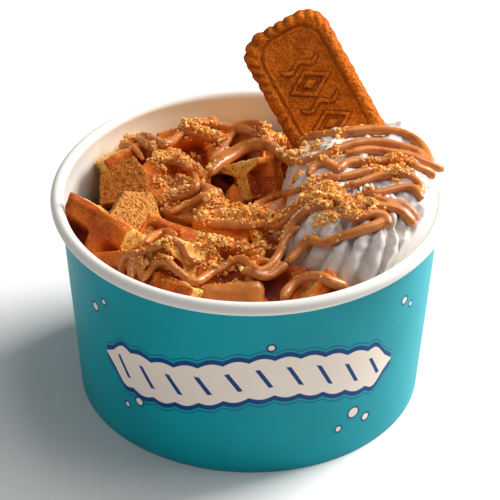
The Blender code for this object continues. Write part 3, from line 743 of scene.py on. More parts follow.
def glossy_spread():
    """Caramel-coloured spread with darker streaks and a wet shine."""
    picked = chosen("spread")
    board = Board("glossy_spread")
    streak = board.clouds(5.0, 3.0, 0.55)
    fine = board.clouds(0.8, 2.0)
    base = board.mix(picked.caramel, picked.deep, board.rise(streak, 0.40, 0.75))
    return board.finish(
        base_color=base,
        roughness=0.28 + streak * 0.12,
        specular_ior_level=0.35,
        coat_weight=0.30,
        coat_roughness=0.14,
        subsurface_weight=0.12,
        subsurface_radius=(1.0, 0.4, 0.15),
        subsurface_scale=0.002,
        normal=board.bump(fine * 0.4 + streak * 0.6, 0.12, 0.6),
    )


def golden_crumb():
    """Biscuit grains from pale gold to brown, each of one tone."""
    picked = chosen("spread")
    board = Board("golden_crumb")
    tone = board.attribute("tone")
    fine = board.clouds(0.35, 2.0)
    stops = [(0.02, picked.brown), (0.33, picked.gold), (0.86, picked.light)]
    base = board.ramp(tone + (fine - 0.5) * 0.4, stops)
    return board.finish(
        base_color=base,
        roughness=0.6 + fine * 0.2,
        specular_ior_level=0.25,
        normal=board.bump(fine, 0.1),
    )


def baked_biscuit(name, porous, pale):
    """Fine-grained caramel biscuit, with painted shade in its grooves and pores. Where it is broken, it is
    paler and open pores show.
    """
    picked = chosen("biscuit")
    board = Board(name)
    deep = board.attribute("deep")
    sugar = board.clouds(0.8, 4.0, 0.75)
    grain = board.clouds(1.8, 3.0, 0.6)
    blotch = board.clouds(9.0, 2.0)
    hole = board.holes(1.7, board.clouds(1.2) * 0.0011, 0.34, 0.14) * porous
    base = board.mix(picked.caramel, picked.broken, pale)
    # Lighter sugar grains, partly painted glints
    base = board.mix(base, picked.light, board.rise(sugar, 0.52, 0.64) * (0.6 + 0.2 * pale))
    base = board.mix(base, picked.dark, board.rise(sugar, 0.46, 0.36) * 0.6)
    baked = board.rise(grain * 0.5 + blotch * 0.5, 0.46, 0.68)
    base = board.mix(base, picked.dark, baked * (0.5 - 0.3 * pale))
    # Painted shade in the whole biscuit's notches and grooves, and a darker band round the edge
    base = board.mix(base, picked.dark, deep * 0.7)
    # Painted shade down in the broken biscuit's pores
    base = board.mix(base, picked.dark, hole * 0.26)
    relief = sugar * 0.6 + grain * 0.4 - hole * 1.1
    return board.finish(
        base_color=base,
        roughness=0.78 + (sugar - 0.5) * 0.2,
        specular_ior_level=0.12,
        normal=board.bump(relief, 0.7, 1.0),
    )


# Modelling


def start_afresh():
    """Leaves edit mode, and deselects everything, as loaded and new objects start out selected."""
    if bpy.context.object is not None and bpy.context.object.mode != "OBJECT":
        bpy.ops.object.mode_set(mode="OBJECT")
    bpy.ops.object.select_all(action="DESELECT")


def pick(*pieces):
    """Selects the pieces alone, and makes the first one active."""
    start_afresh()
    for piece in pieces:
        piece.select_set(True)
    bpy.context.view_layer.objects.active = pieces[0]


def points_of(piece):
    """The piece's points as an array of rows."""
    flat = np.empty(len(piece.data.vertices) * 3)
    piece.data.vertices.foreach_get("co", flat)
    return flat.reshape(-1, 3)


def move_points(piece, points):
    piece.data.vertices.foreach_set("co", np.ascontiguousarray(points).reshape(-1))
    piece.data.update()


def write_values(piece, name, values):
    """Stores a number at each point, for a material to read."""
    layer = piece.data.attributes.get(name) or piece.data.attributes.new(name, "FLOAT", "POINT")
    layer.data.foreach_set("value", np.clip(values, 0.0, 1.0).astype(np.float32))


def rise(values, low, high):
    """Goes smoothly from 0 to 1 as values go from low to high."""
    share = np.clip((values - low) / (high - low), 0.0, 1.0)
    return share * share * (3 - 2 * share)


def facing(azimuth, elevation, spin):
    """Rotation that turns a piece's +Z to face azimuth (0 is the front, + is to the right) and
    elevation above the level, after a turn by spin about its own Z. All in degrees."""
    a, e = math.radians(azimuth), math.radians(elevation)
    z = Vector((math.sin(a) * math.cos(e), -math.cos(a) * math.cos(e), math.sin(e)))
    x = Vector((math.cos(a), math.sin(a), 0.0))
    y = z.cross(x)
    basis = Matrix((x, y, z)).transposed().to_4x4()
    return basis @ Matrix.Rotation(math.radians(spin), 4, "Z")


def put(piece, at, turn):
    """Moves a piece modelled at the origin to its place in mm, and applies the move to its mesh."""
    piece.matrix_world = Matrix.Translation(Vector(at) * MM) @ facing(*turn)
    pick(piece)
    bpy.ops.object.transform_apply(location=True, rotation=True, scale=True)


def apply_modifier(piece, kind, **settings):
    """Gives a piece a modifier with its settings, and applies it."""
    modifier = piece.modifiers.new(kind.title(), kind)
    for name, value in settings.items():
        setattr(modifier, name, value)
    pick(piece)
    bpy.ops.object.modifier_apply(modifier=modifier.name)


def displace(piece, size, height, depth, group=""):
    """Lifts and sinks a surface along its normals by a cloudy texture."""
    clouds = bpy.data.textures.new(piece.name + "_relief", "CLOUDS")
    clouds.noise_scale = size
    clouds.noise_depth = depth
    settings = {"texture": clouds, "texture_coords": "LOCAL", "vertex_group": group}
    apply_modifier(piece, "DISPLACE", strength=height, mid_level=0.5, **settings)


def weigh(piece, name, values):
    """Makes a vertex group with a weight at each point, in steps, and gives its name."""
    group = piece.vertex_groups.new(name=name)
    steps = np.round(np.clip(values, 0, 1) * WEIGHT_STEPS).astype(int)
    for step in np.unique(steps):
        if step > 0:
            group.add(np.nonzero(steps == step)[0].tolist(), step / WEIGHT_STEPS, "REPLACE")
    return name


def join(pieces, name):
    pick(*pieces)
    bpy.ops.object.join()
    joined = pieces[0]
    joined.name = name
    joined.data.name = name
    return joined


def dress(piece, material, smooth=180.0):
    """Gives a piece its finish and smooth shading, and lets it ride with the tub."""
    piece.data.materials.clear()
    piece.data.materials.append(material)
    pick(piece)
    bpy.ops.object.shade_smooth_by_angle(angle=math.radians(smooth))
    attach(piece, BODY)
    return piece


def inside_radius(height):
    return FOOT_RADIUS + (NECK_RADIUS - FOOT_RADIUS) * height / NECK_HEIGHT - PAPER


def keep_in_tub(piece, clearance=WALL_CLEARANCE):
    """Presses a piece's points back inside the tub's wall, as packed food is."""
    points = points_of(piece)
    reach = np.hypot(points[:, 0], points[:, 1])
    limit = inside_radius(np.minimum(points[:, 2], NECK_HEIGHT)) - clearance
    over = reach > limit
    points[over, :2] *= (limit[over] / reach[over])[:, None]
    move_points(piece, points)


def turn_profile(name, profile, sides, closed):
    """Extrudes and scales a circle through a profile of (radius, height) points."""
    start_afresh()
    radius, height = profile[0]
    bpy.ops.mesh.primitive_circle_add(vertices=sides, radius=radius, location=(0, 0, height))
    piece = bpy.context.object
    piece.name = name
    bpy.ops.object.transform_apply(location=True, rotation=True, scale=True)
    bpy.ops.object.mode_set(mode="EDIT")
    bpy.ops.mesh.select_all(action="SELECT")
    for (before, low), (after, high) in zip(profile, profile[1:]):
        bpy.ops.mesh.extrude_region_move(TRANSFORM_OT_translate={"value": (0, 0, high - low)})
        ratio = after / before
        bpy.ops.transform.resize(value=(ratio, ratio, 1.0), center_override=(0, 0, 0))
    bpy.ops.mesh.select_all(action="SELECT")
    if closed:
        bpy.ops.mesh.remove_doubles(threshold=0.01 * MM)
    else:
        bpy.ops.mesh.fill_holes(sides=0)
        bpy.ops.mesh.select_all(action="SELECT")
    bpy.ops.mesh.normals_make_consistent(inside=False)
    bpy.ops.object.mode_set(mode="OBJECT")
    return piece


def ball(name, columns, rings):
    """A ball of radius 1 to shape, with each point's angle round it and its height from -1 to 1."""
    start_afresh()
    bpy.ops.mesh.primitive_uv_sphere_add(segments=columns, ring_count=rings, radius=1.0)
    piece = bpy.context.object
    piece.name = name
    points = points_of(piece)
    angle = np.arctan2(points[:, 1], points[:, 0])
    climb = np.arcsin(np.clip(points[:, 2], -1, 1)) * 2 / math.pi
    return piece, angle, climb


# Tub


def tub_profile():
    """Section of the tapered side with its rolled rim and its folded foot, from the foot's inner edge."""
    bead = chosen("tub").bead
    middle = (RIM_RADIUS - bead, TUB_HEIGHT - bead)
    rolled = []
    first, last = BEAD_ARC
    for degrees in range(first, last + 1, BEAD_TURN):
        angle = math.radians(degrees)
        rolled.append((middle[0] + bead * math.cos(angle), middle[1] + bead * math.sin(angle)))
    fold_inner = FOLD_OUTER - PAPER
    side = [(FOOT_RADIUS - FOOT_ROUND, 0.0), (FOOT_RADIUS, FOOT_ROUND)]
    for step in range(1, WALL_STEPS):
        height = NECK_HEIGHT * step / WALL_STEPS
        side.append((inside_radius(height) + PAPER, height))
    side.append((NECK_RADIUS, NECK_HEIGHT))
    inner = []
    for step in range(WALL_STEPS, 0, -1):
        height = PAPER + (NECK_HEIGHT - PAPER) * step / WALL_STEPS
        inner.append((inside_radius(height), height))
    fold = [
        (inside_radius(PAPER), PAPER), (FOLD_OUTER, PAPER), (FOLD_OUTER, FOLD_HEIGHT),
        (fold_inner, FOLD_HEIGHT), (fold_inner, 0.0),
    ]
    return [(fold_inner, 0.0)] + side + rolled + inner + fold


class DESSERT_OT_tub(bpy.types.Operator):
    """Turns the paper tub's side with its rolled rim and folded foot, and finishes its floor"""

    bl_idname = "dessert.tub"
    bl_label = "Paper tub"

    def execute(self, context):
        picked = chosen("tub")
        wall = turn_profile("paper_wall", tub_profile(), TUB_SIDES, closed=True)
        points = points_of(wall)
        angle = np.degrees(np.arctan2(points[:, 1], points[:, 0]))
        seam_end = SEAM_ANGLE + SEAM_WIDTH
        seam = rise(angle, SEAM_ANGLE - SEAM_START, SEAM_ANGLE)
        seam = seam * (1 - rise(angle, seam_end, seam_end + SEAM_END))
        high = rise(points[:, 2], FOLD_HEIGHT, 2 * FOLD_HEIGHT)
        spread = np.radians(angle)
        dent = np.sin(3 * spread + 0.4) + 0.6 * np.sin(7 * spread + points[:, 2] / (14 * MM))
        reach = np.hypot(points[:, 0], points[:, 1])
        inside = reach < inside_radius(points[:, 2]) + PAPER / 2
        step = np.where(inside, -SEAM_STEP, SEAM_STEP) * seam * (points[:, 2] < NECK_HEIGHT)
        away = step + high * (points[:, 2] < NECK_HEIGHT + picked.bead) * dent * picked.dent / 2
        points[:, :2] *= ((reach + away) / reach)[:, None]
        move_points(wall, points)
        dress(wall, printed_paper(), smooth=50)
        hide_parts("tub_wall")
        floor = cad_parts["tub_floor"]
        floor.data.materials.clear()
        floor.data.materials.append(white_paper())
        return {"FINISHED"}


# Waffle pieces


def pocket_share(points, centre):
    """How far down a pocket each point of the waffle's face is, from 0 on a ridge to 1 on its floor."""
    share = np.ones(len(points))
    for axis in range(2):
        run = (points[:, axis] + centre[axis] * MM + WAFFLE_SIDE / 2) % PITCH - RIDGE
        share *= rise(np.minimum(run, POCKET - run), 0.0, DRAFT)
    return share


def fine_cube(name, cuts):
    """A finely divided cube that reaches from -1 to 1 on each axis."""
    start_afresh()
    bpy.ops.mesh.primitive_cube_add(size=2.0)
    piece = bpy.context.object
    piece.name = name
    bpy.ops.object.mode_set(mode="EDIT")
    bpy.ops.mesh.subdivide(number_cuts=cuts)
    bpy.ops.object.mode_set(mode="OBJECT")
    return piece


def rounded(block, half, edge):
    """A block's points, moved in so that its edges and corners are round."""
    inner = np.clip(block, -(half - edge), half - edge)
    over = block - inner
    reach = np.linalg.norm(over, axis=1)
    most = np.abs(over).max(axis=1)
    return inner + over * (most / np.maximum(reach, NEAR_ZERO))[:, None]


def waffle_piece(name, at, size, centre, turn, coat, cuts, draw):
    """Cuts one chunk: a finely divided block with its pockets sunk, rounded edges and leaning sides."""
    piece = fine_cube(name, cuts)
    unit = points_of(piece)
    half = np.array([size[0] * MM / 2, size[1] * MM / 2, THICK / 2])
    edge = EDGE_ROUND * (1 + COATED_ROUND * max(coat - COATED_FROM, 0) / (1 - COATED_FROM))
    block = rounded(unit * half, half, edge)

    pocket = pocket_share(block, centre) * (1 - 0.85 * coat)
    block[:, 2] *= 1 - POCKET_DEPTH * pocket / (THICK / 2)
    surface = THICK / 2 - POCKET_DEPTH * pocket
    cut_side = np.maximum(np.abs(unit[:, 0]), np.abs(unit[:, 1])) > 0.995
    skin = surface - np.abs(block[:, 2])
    crumb = cut_side * rise(skin, CRUST * 0.6, CRUST * 1.4)
    bow = 1 - (np.abs(unit[:, 2]) ** 2)
    block[:, :2] *= (1 + CUT_BOW * bow * cut_side * draw.uniform(-1.5, 1.0))[:, None]
    lean = [draw.uniform(-CUT_LEAN, CUT_LEAN) for _ in range(2)]
    skew = draw.uniform(-CUT_SKEW, CUT_SKEW)
    block[:, 0] += lean[0] * block[:, 2] + skew * block[:, 1]
    block[:, 1] += lean[1] * block[:, 2]
    move_points(piece, block)

    tone = draw.uniform(-CUT_TONE, CUT_TONE)
    # Toasting tone with painted shade darker down in the pockets and painted highlight paler on the ridges;
    # the cut crumb has none
    toast = (0.46 + 0.42 * pocket - 0.08 * (1 - pocket) + tone) * (1 - crumb)
    # Painted shade: pieces low in the heap are made darker
    if cuts == LOW_PIECE_CUTS:
        toast = 0.55 + 0.45 * toast
    write_values(piece, "toast", toast)
    upper = rise(block[:, 2] / (THICK / 2), -0.2, 0.5)
    write_values(piece, "coat", coat * upper)
    crumbed = weigh(piece, "crumb", crumb)
    relief = chosen("waffle").pores
    put(piece, at, turn)
    displace(piece, 6.5 * MM, 1.1 * MM, depth=1)
    if cuts > LOW_PIECE_CUTS:
        displace(piece, 1.9 * MM, relief * 1.2, depth=2, group=crumbed)
        displace(piece, 1.6 * MM, relief * 0.35, depth=1)
    keep_in_tub(piece)
    piece.vertex_groups.clear()
    return piece


def heap_core():
    """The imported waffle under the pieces, out to the wall, with a lumpy top."""
    foot = FLOOR_HEIGHT + CORE_GAP
    edge = inside_radius(CORE_TOP) - WALL_CLEARANCE
    profile = [(CORE_TIP, foot), (inside_radius(foot) - WALL_CLEARANCE, foot), (edge, CORE_TOP)]
    for ring in range(1, CORE_RINGS + 1):
        profile.append((edge + (CORE_TIP - edge) * ring / CORE_RINGS, CORE_TOP))
    core = turn_profile("core", profile, CORE_SIDES, closed=False)
    points = points_of(core)
    top = points[:, 2] > CORE_TOP - 0.1 * MM
    run_x, run_y = CORE_SWELL_RUN
    swell = CORE_SWELL * np.sin(points[:, 0] / run_x) * np.cos(points[:, 1] / run_y)
    slope = CORE_SLOPE * (points[:, 0] - points[:, 1])
    points[top, 2] += swell[top] + slope[top]
    move_points(core, points)
    displace(core, 6.0 * MM, 3.0 * MM, depth=2)
    keep_in_tub(core)
    return core


class DESSERT_OT_waffle(bpy.types.Operator):
    """Cuts the waffle pieces that show, heaps smaller ones under them, and packs the core below"""

    bl_idname = "dessert.waffle"
    bl_label = "Waffle pieces"

    def execute(self, context):
        draw = random.Random(chosen("stage").seed)
        finish = toasted_waffle()
        top = [waffle_piece(name, *given, PIECE_CUTS, draw) for name, given in WAFFLE_PIECES.items()]
        heap = dress(join(top, "waffle_pieces"), finish, smooth=60)
        low = []
        for number in range(LOW_PIECES):
            angle = 2 * math.pi * number * 0.382
            reach = 60 * math.sqrt((number + 0.5) / LOW_PIECES)
            at = (reach * math.cos(angle), reach * math.sin(angle), draw.uniform(*LOW_PIECE_HEIGHT))
            turn = (draw.uniform(-180, 180), draw.uniform(20, 80), draw.uniform(0, 90))
            size = (draw.uniform(18, 24), draw.uniform(18, 24))
            centre = (draw.uniform(0, 10), draw.uniform(0, 10))
            low.append(waffle_piece(f"low_{number}", at, size, centre, turn, 0.0, LOW_PIECE_CUTS, draw))
        below = dress(join(low, "waffle_pieces_below"), finish, smooth=60)
        core = dress(heap_core(), packed_waffle())
        core.name = "waffle_core"
        for piece in (heap, below, core):
            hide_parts("waffle_heap")
        return {"FINISHED"}


# Cream


def cream_shape(column, climb, fold):
    """Places of the mound's points, and how deep down in a fold each lies, from 0 to 1."""
    rising = np.clip(climb, 0, 1)
    height = CREAM_FOOT + (CREAM_TOP - CREAM_FOOT) * np.sin(rising * math.pi / 2)
    height = np.where(climb < 0, CREAM_BASE, height)
    wander = 0.10 * np.sin(column * 3 + 1.0) + 0.05 * np.sin(column * 7)
    angle = column + CREAM_TWIST * rising + wander * rising
    shoulder = rise(np.cos(angle - SHOULDER_SIDE), 0.5, 0.9)
    swell = np.cos(rising * math.pi / 2) ** (CREAM_FULLNESS - SHOULDER_FULLNESS * shoulder)
    swell = np.where(climb < 0, 1 + climb, swell)
    wave = 0.5 + 0.5 * np.cos(CREAM_RIDGES * column + 1.2 * np.sin(2 * column))
    valley = 1 - np.sqrt(wave)
    folded = 0.12 + 0.88 * rise(np.cos(column - CREAM_FOLDED_SIDE), 0.38, 0.85)
    depth = fold * valley * folded * rise(climb, -0.02, 0.06) * (1 - 0.4 * rise(climb, 0.6, 0.95))
    across, along = np.cos(angle), np.sin(angle)
    power = CREAM_SQUARENESS + SHOULDER_SQUARENESS * shoulder
    fullness = (np.abs(across) ** power + np.abs(along) ** power) ** (-1 / power)
    x = CREAM_CENTRE.x + (CREAM_REACH[0] * swell * fullness - depth * swell) * across
    y = CREAM_CENTRE.y + (CREAM_REACH[1] * swell * fullness - depth * swell) * along
    height = height - depth * 0.8 * rise(climb, 0.25, 0.8)
    return np.column_stack([x, y, height]), valley * folded


class DESSERT_OT_cream(bpy.types.Operator):
    """Pipes the long mound of whipped cream, with folds that twist as they climb and ragged peaks"""

    bl_idname = "dessert.cream"
    bl_label = "Whipped cream"

    def execute(self, context):
        picked = chosen("cream")
        mound, column, climb = ball("cream_mound", CREAM_RIDGES * CREAM_RIDGE_COLUMNS, CREAM_RINGS)
        points, fold = cream_shape(column, climb, picked.fold)
        move_points(mound, points)
        write_values(mound, "fold", fold)
        low_peaks, all_peaks = CREAM_PEAKED
        high = weigh(mound, "high", rise(points[:, 2], CREAM_TOP - low_peaks, CREAM_TOP - all_peaks))
        displace(mound, 9.0 * MM, 2.4 * MM, depth=1)
        displace(mound, 5.0 * MM, picked.peak, depth=2, group=high)
        displace(mound, 2.4 * MM, 0.5 * MM, depth=2)
        mound.vertex_groups.clear()
        keep_in_tub(mound, CREAM_CLEARANCE)
        dress(mound, whipped_cream())
        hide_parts("cream")
        return {"FINISHED"}


# Biscuits


def rounded_reach(angle):
    """Distance from the centre to the biscuit's plain outline in each direction."""
    half_x, half_y, corner = BISCUIT_WIDTH / 2, BISCUIT_LENGTH / 2, BISCUIT_CORNER
    across, along = np.abs(np.cos(angle)), np.abs(np.sin(angle))
    flat = np.minimum(half_x / np.maximum(across, NEAR_ZERO), half_y / np.maximum(along, NEAR_ZERO))
    centre_x, centre_y = half_x - corner, half_y - corner
    middle = across * centre_x + along * centre_y
    square = middle ** 2 - (centre_x ** 2 + centre_y ** 2 - corner ** 2)
    arc = middle + np.sqrt(np.maximum(square, 0))
    on_arc = (arc * across > centre_x) & (arc * along > centre_y)
    return np.where(on_arc, arc, flat)


def edge_distance(x, y, half_x, half_y, corner):
    """Distance of face points in from a rounded rectangle's outline."""
    out_x = np.abs(x) - (half_x - corner)
    out_y = np.abs(y) - (half_y - corner)
    outside = np.hypot(np.maximum(out_x, 0), np.maximum(out_y, 0))
    return corner - outside - np.minimum(np.maximum(out_x, out_y), 0)


def scallops(angle):
    """Swells between notches round the biscuit's edge: 0 in a notch and 1 at a swell's top."""
    turn = np.linspace(-math.pi, math.pi, 2001)
    reach = rounded_reach(turn)
    steps = np.hypot(np.diff(reach * np.cos(turn)), np.diff(reach * np.sin(turn)))
    run = np.concatenate([[0], np.cumsum(steps)])
    count = round(run[-1] / SCALLOP)
    place = count * np.interp(angle, turn, run) / run[-1]
    place = place + 0.16 * np.sin(5 * angle) + 0.10 * np.sin(11 * angle + 1.0)
    even = 0.62 + 0.26 * np.sin(3 * angle + 2.0) + 0.12 * np.sin(8 * angle)
    crisp = SCALLOP_WORN + (1 - SCALLOP_WORN) * rise(np.cos(angle - SCALLOP_CRISP_SIDE), -0.4, 0.5)
    return 1 - (1 - np.abs(np.sin(math.pi * place))) * np.clip(even, 0, 1) * crisp


def panel_relief(x, y):
    """Height of the sunk panel's raised lozenges and waves from 0 to 1, and of the shade round them."""
    u, v = x / MM, y / MM
    gap = np.full(len(x), 9.0)
    wide, high = PANEL_LOZENGE
    slant = wide * high / math.hypot(wide, high)
    for middle in PANEL_LOZENGES:
        reach = np.abs(u) / wide + np.abs(v - middle) / high
        gap = np.minimum(gap, np.abs(reach - 1) * slant)
        gap = np.minimum(gap, np.maximum(reach - 0.22, 0) * slant)
    for middle in PANEL_WAVES:
        off = v - middle - PANEL_WAVE_HEIGHT * np.cos(u * math.pi / PANEL_WAVE_RUN)
        gap = np.minimum(gap, np.hypot(np.maximum(np.abs(u) - PANEL_WAVE_REACH, 0), off * 0.85))
    raised = 1 - rise(gap, PANEL_STROKE * 0.45, PANEL_STROKE)
    shade = rise(gap, PANEL_STROKE * 0.4, PANEL_STROKE * 0.95)
    shade = shade * (1 - rise(gap, PANEL_STROKE, PANEL_STROKE * 1.7))
    return raised, shade


def flank_share(climb, flank):
    """How far out from the centre each point of a flattened ball lies: 1 on its upright flank."""
    return np.where(np.abs(climb) < flank, 1.0, (1 - np.abs(climb)) / (1 - flank))


def biscuit_shape(angle, climb):
    """Places of the biscuit's points, and how dark its notches, border and panel lines are there: painted
    shade in the notches and panel lines.
    """
    flank = BISCUIT_FLANK
    swell = scallops(angle)
    share = flank_share(climb, flank)
    reach = rounded_reach(angle)
    plain = share * reach
    x, y = plain * np.cos(angle), plain * np.sin(angle)
    inward = edge_distance(x, y, BISCUIT_WIDTH / 2, BISCUIT_LENGTH / 2, BISCUIT_CORNER)
    inside = edge_distance(x, y, *PANEL_SIZE)
    notch = (1 - swell) * (1 - rise(inward, *NOTCH_REACH))
    crown = np.interp(inward / MM, CROWN_INWARD, CROWN_HEIGHT)
    sunk = rise(inside, -1.1 * MM, 0.3 * MM)
    frame_line = 1 - rise(np.abs(inside - 1.3 * MM), 0.2 * MM, 0.6 * MM)
    raised, shade = panel_relief(x, y)
    panel = rise(inside, 1.6 * MM, 2.4 * MM)
    # Painted shade in the notches, round the panel's frame and round its raised strokes; the edge band is
    # darker too
    deep = notch * 0.8 + (1 - rise(inward, 0.3 * MM, 1.6 * MM)) * 0.35
    deep += rise(inside, -1.2 * MM, -0.2 * MM) * (1 - rise(inside, 0.4 * MM, 1.0 * MM)) * 0.55
    deep += panel * shade * 0.9

    face = crown * (1 - sunk) + PANEL_HEIGHT / MM * sunk
    face = (face + frame_line * BORDER_RELIEF + panel * raised * PANEL_RELIEF) * MM - notch * NOTCH_DEPTH
    z = np.where(climb > 0, face, 0.0)
    flank_height = (climb + flank) / (2 * flank) * (FLANK_HIGH - FLANK_LOW) + FLANK_LOW
    z = np.where(np.abs(climb) < flank, flank_height - notch * 0.2 * MM, z)
    back = np.interp(inward / MM, BACK_INWARD, BACK_HEIGHT) * MM
    z = np.where(climb <= -flank, back, z)
    at_edge = share > BISCUIT_EDGE
    shrink = np.where(at_edge, (reach - SCALLOP_DEPTH * (1 - swell)) / reach, 1.0)
    points = np.column_stack([x * shrink, y * shrink, z - BISCUIT_THICK / 2])
    return points, deep * (climb > -flank)


class DESSERT_OT_biscuit(bpy.types.Operator):
    """Presses the whole biscuit, with its scalloped border, sunk panel and raised waves and lozenges"""

    bl_idname = "dessert.biscuit"
    bl_label = "Whole biscuit"

    def execute(self, context):
        piece, angle, climb = ball("whole_biscuit", *BISCUIT_GRID)
        points, deep = biscuit_shape(angle, climb)
        move_points(piece, points)
        write_values(piece, "deep", deep)
        put(piece, *BISCUIT_PLACE)
        grain = chosen("biscuit").grain
        displace(piece, 6.0 * MM, grain * 3.0, depth=1)
        displace(piece, 1.5 * MM, grain * 1.6, depth=2)
        displace(piece, 0.7 * MM, grain * 1.0, depth=1)
        dress(piece, baked_biscuit("baked_biscuit", 0.0, 0.0))
        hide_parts("biscuit")
        return {"FINISHED"}


def corner_reach(angle, corners):
    """Distance from the centre to a many-sided outline in each direction."""
    reach = np.full(len(angle), 1.0)
    direction = np.column_stack([np.cos(angle), np.sin(angle)])
    for start, end in zip(corners, corners[1:] + corners[:1]):
        run = (end[0] - start[0], end[1] - start[1])
        normal = (run[1], -run[0])
        level = normal[0] * start[0] + normal[1] * start[1]
        faced = direction @ np.array(normal)
        hit = np.where(faced > NEAR_ZERO, level / np.maximum(faced, NEAR_ZERO), 1.0)
        reach = np.minimum(reach, hit)
    return reach


class DESSERT_OT_broken(bpy.types.Operator):
    """Breaks the two rough biscuit chunks at the left"""

    bl_idname = "dessert.broken"
    bl_label = "Broken biscuit"

    def execute(self, context):
        for name, (corners, at, turn, pale) in BROKEN_BISCUITS.items():
            piece, angle, climb = ball(name + "_crumb", *BROKEN_GRID)
            outline = [(x * MM, y * MM) for x, y in corners]
            share = flank_share(climb, BROKEN_FLANK)
            side = np.clip(climb / BROKEN_FLANK, -1, 1)
            level = side * (1 - 0.10 * share ** 6)
            reach = corner_reach(angle, outline) * share
            reach = reach * (1 + 0.03 * side) * (1 - 0.04 * np.abs(level) ** 3)
            z = level * BROKEN_THICK / 2
            move_points(piece, np.column_stack([reach * np.cos(angle), reach * np.sin(angle), z]))
            write_values(piece, "deep", (1 - rise(np.abs(level), 0.1, 0.9)) * 0.5)
            put(piece, at, turn)
            displace(piece, 4.0 * MM, 0.5 * MM, depth=1)
            displace(piece, 1.2 * MM, 0.7 * MM, depth=1)
            displace(piece, 0.6 * MM, 0.4 * MM, depth=1)
            dress(piece, baked_biscuit(name + "_grain", 1.0, pale), smooth=50)
            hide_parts(name)
        return {"FINISHED"}


# Laying things on the food


def photo_ray(pixel):
    """Start and direction of the camera's line of sight through a pixel of the photograph."""
    turn = camera_turn().to_3x3()
    scale = CAMERA_SENSOR / CAMERA_LENS / PHOTO_SIZE
    across, up = (pixel[0] - PHOTO_SIZE / 2) * scale, (PHOTO_SIZE / 2 - pixel[1]) * scale
    return CAMERA_PLACE, (turn @ Vector((across, up, -1.0))).normalized()


def camera_turn():
    tilt = Matrix.Rotation(math.radians(90 - CAMERA_DOWN), 4, "X")
    return tilt @ Matrix.Rotation(math.radians(CAMERA_ROLL), 4, "Z")


class Ground:
    """The food's top as rays from above and from the camera meet it, and its heights with the hollows
    filled that a soft strand hangs across."""

    STEP = 1.0 * MM
    REACH = 74
    SAG_RADIUS = 10.0 * MM
    SPAN = 9
    RAY_STEP = 0.3 * MM
    PIXEL_STEP = 0.5

    def __init__(self, names):
        graph = bpy.context.evaluated_depsgraph_get()
        self.trees = [BVHTree.FromObject(bpy.data.objects[name], graph) for name in names]
        places = np.arange(-self.REACH, self.REACH + 1) * self.STEP
        self.spanned = self.span(np.array([[self.top(x, y) for y in places] for x in places]))

    def top(self, x, y):
        start = Vector((x, y, 2 * TUB_HEIGHT))
        hits = [tree.ray_cast(start, Vector((0, 0, -1)))[0] for tree in self.trees]
        return max([hit.z for hit in hits if hit is not None], default=CORE_TOP)

    def shifted(self, heights):
        """The heights seen from each place within reach, each with how far a round brush drops there."""
        padded = np.pad(heights, self.SPAN, mode="edge")
        size = heights.shape[0]
        for i in range(-self.SPAN, self.SPAN + 1):
            for j in range(-self.SPAN, self.SPAN + 1):
                drop = (i * i + j * j) * self.STEP ** 2 / (2 * self.SAG_RADIUS)
                low_i, low_j = self.SPAN + i, self.SPAN + j
                yield padded[low_i:low_i + size, low_j:low_j + size], drop

    def span(self, heights):
        """Fills the hollows that a strand hangs across, and leaves the rest as it is."""
        best = heights.copy()
        for near, drop in self.shifted(heights):
            best = np.maximum(best, near - drop)
        spanned = best.copy()
        for near, drop in self.shifted(best):
            spanned = np.minimum(spanned, near + drop)
        return spanned

    def height(self, x, y):
        """Filled height between the measured places."""
        grid = self.spanned
        last = 2 * self.REACH - 1.001
        u = min(max(x / self.STEP + self.REACH, 0), last)
        v = min(max(y / self.STEP + self.REACH, 0), last)
        i, j = int(u), int(v)
        a, b = u - i, v - j
        low = grid[i, j] * (1 - b) + grid[i, j + 1] * b
        high = grid[i + 1, j] * (1 - b) + grid[i + 1, j + 1] * b
        return low * (1 - a) + high * a

    def met(self, pixel, lift=0.0):
        """The place on the food that a pixel of the photograph shows, or None where it looks past."""
        start, ahead = photo_ray(pixel)
        run = (start.z - 1.5 * TUB_HEIGHT) / -ahead.z
        while True:
            point = start + ahead * run
            if point.y > 0 and point.xy.length > FOOT_RADIUS or point.z < CORE_TOP:
                return None
            if point.z <= self.height(point.x, point.y) + lift:
                return point
            run += self.RAY_STEP

    def under(self, pixel, lift=0.0):
        """The pixel, moved down to where it first shows the food, and that place."""
        pixel = Vector(pixel)
        place = self.met(pixel, lift)
        while place is None:
            pixel.y += self.PIXEL_STEP
            place = self.met(pixel, lift)
        return pixel, place


def smooth_curve(knots, parts):
    """Points along a smooth curve through the knots."""
    knots = [2 * knots[0] - knots[1]] + knots + [2 * knots[-1] - knots[-2]]
    curve = []
    for a, b, c, d in zip(knots, knots[1:], knots[2:], knots[3:]):
        for part in range(parts):
            t = part / parts
            square = (2 * a - 5 * b + 4 * c - d) * t * t
            cube = (3 * b - a - 3 * c + d) * t ** 3
            curve.append(0.5 * (2 * b + (c - a) * t + square + cube))
    curve.append(knots[-2])
    return curve


def eased(values, reach):
    """Each value with its neighbours' mean, so that a strand bends softly."""
    padded = [values[0]] * reach + values + [values[-1]] * reach
    return [sum(padded[n:n + 2 * reach + 1]) / (2 * reach + 1) for n in range(len(values))]


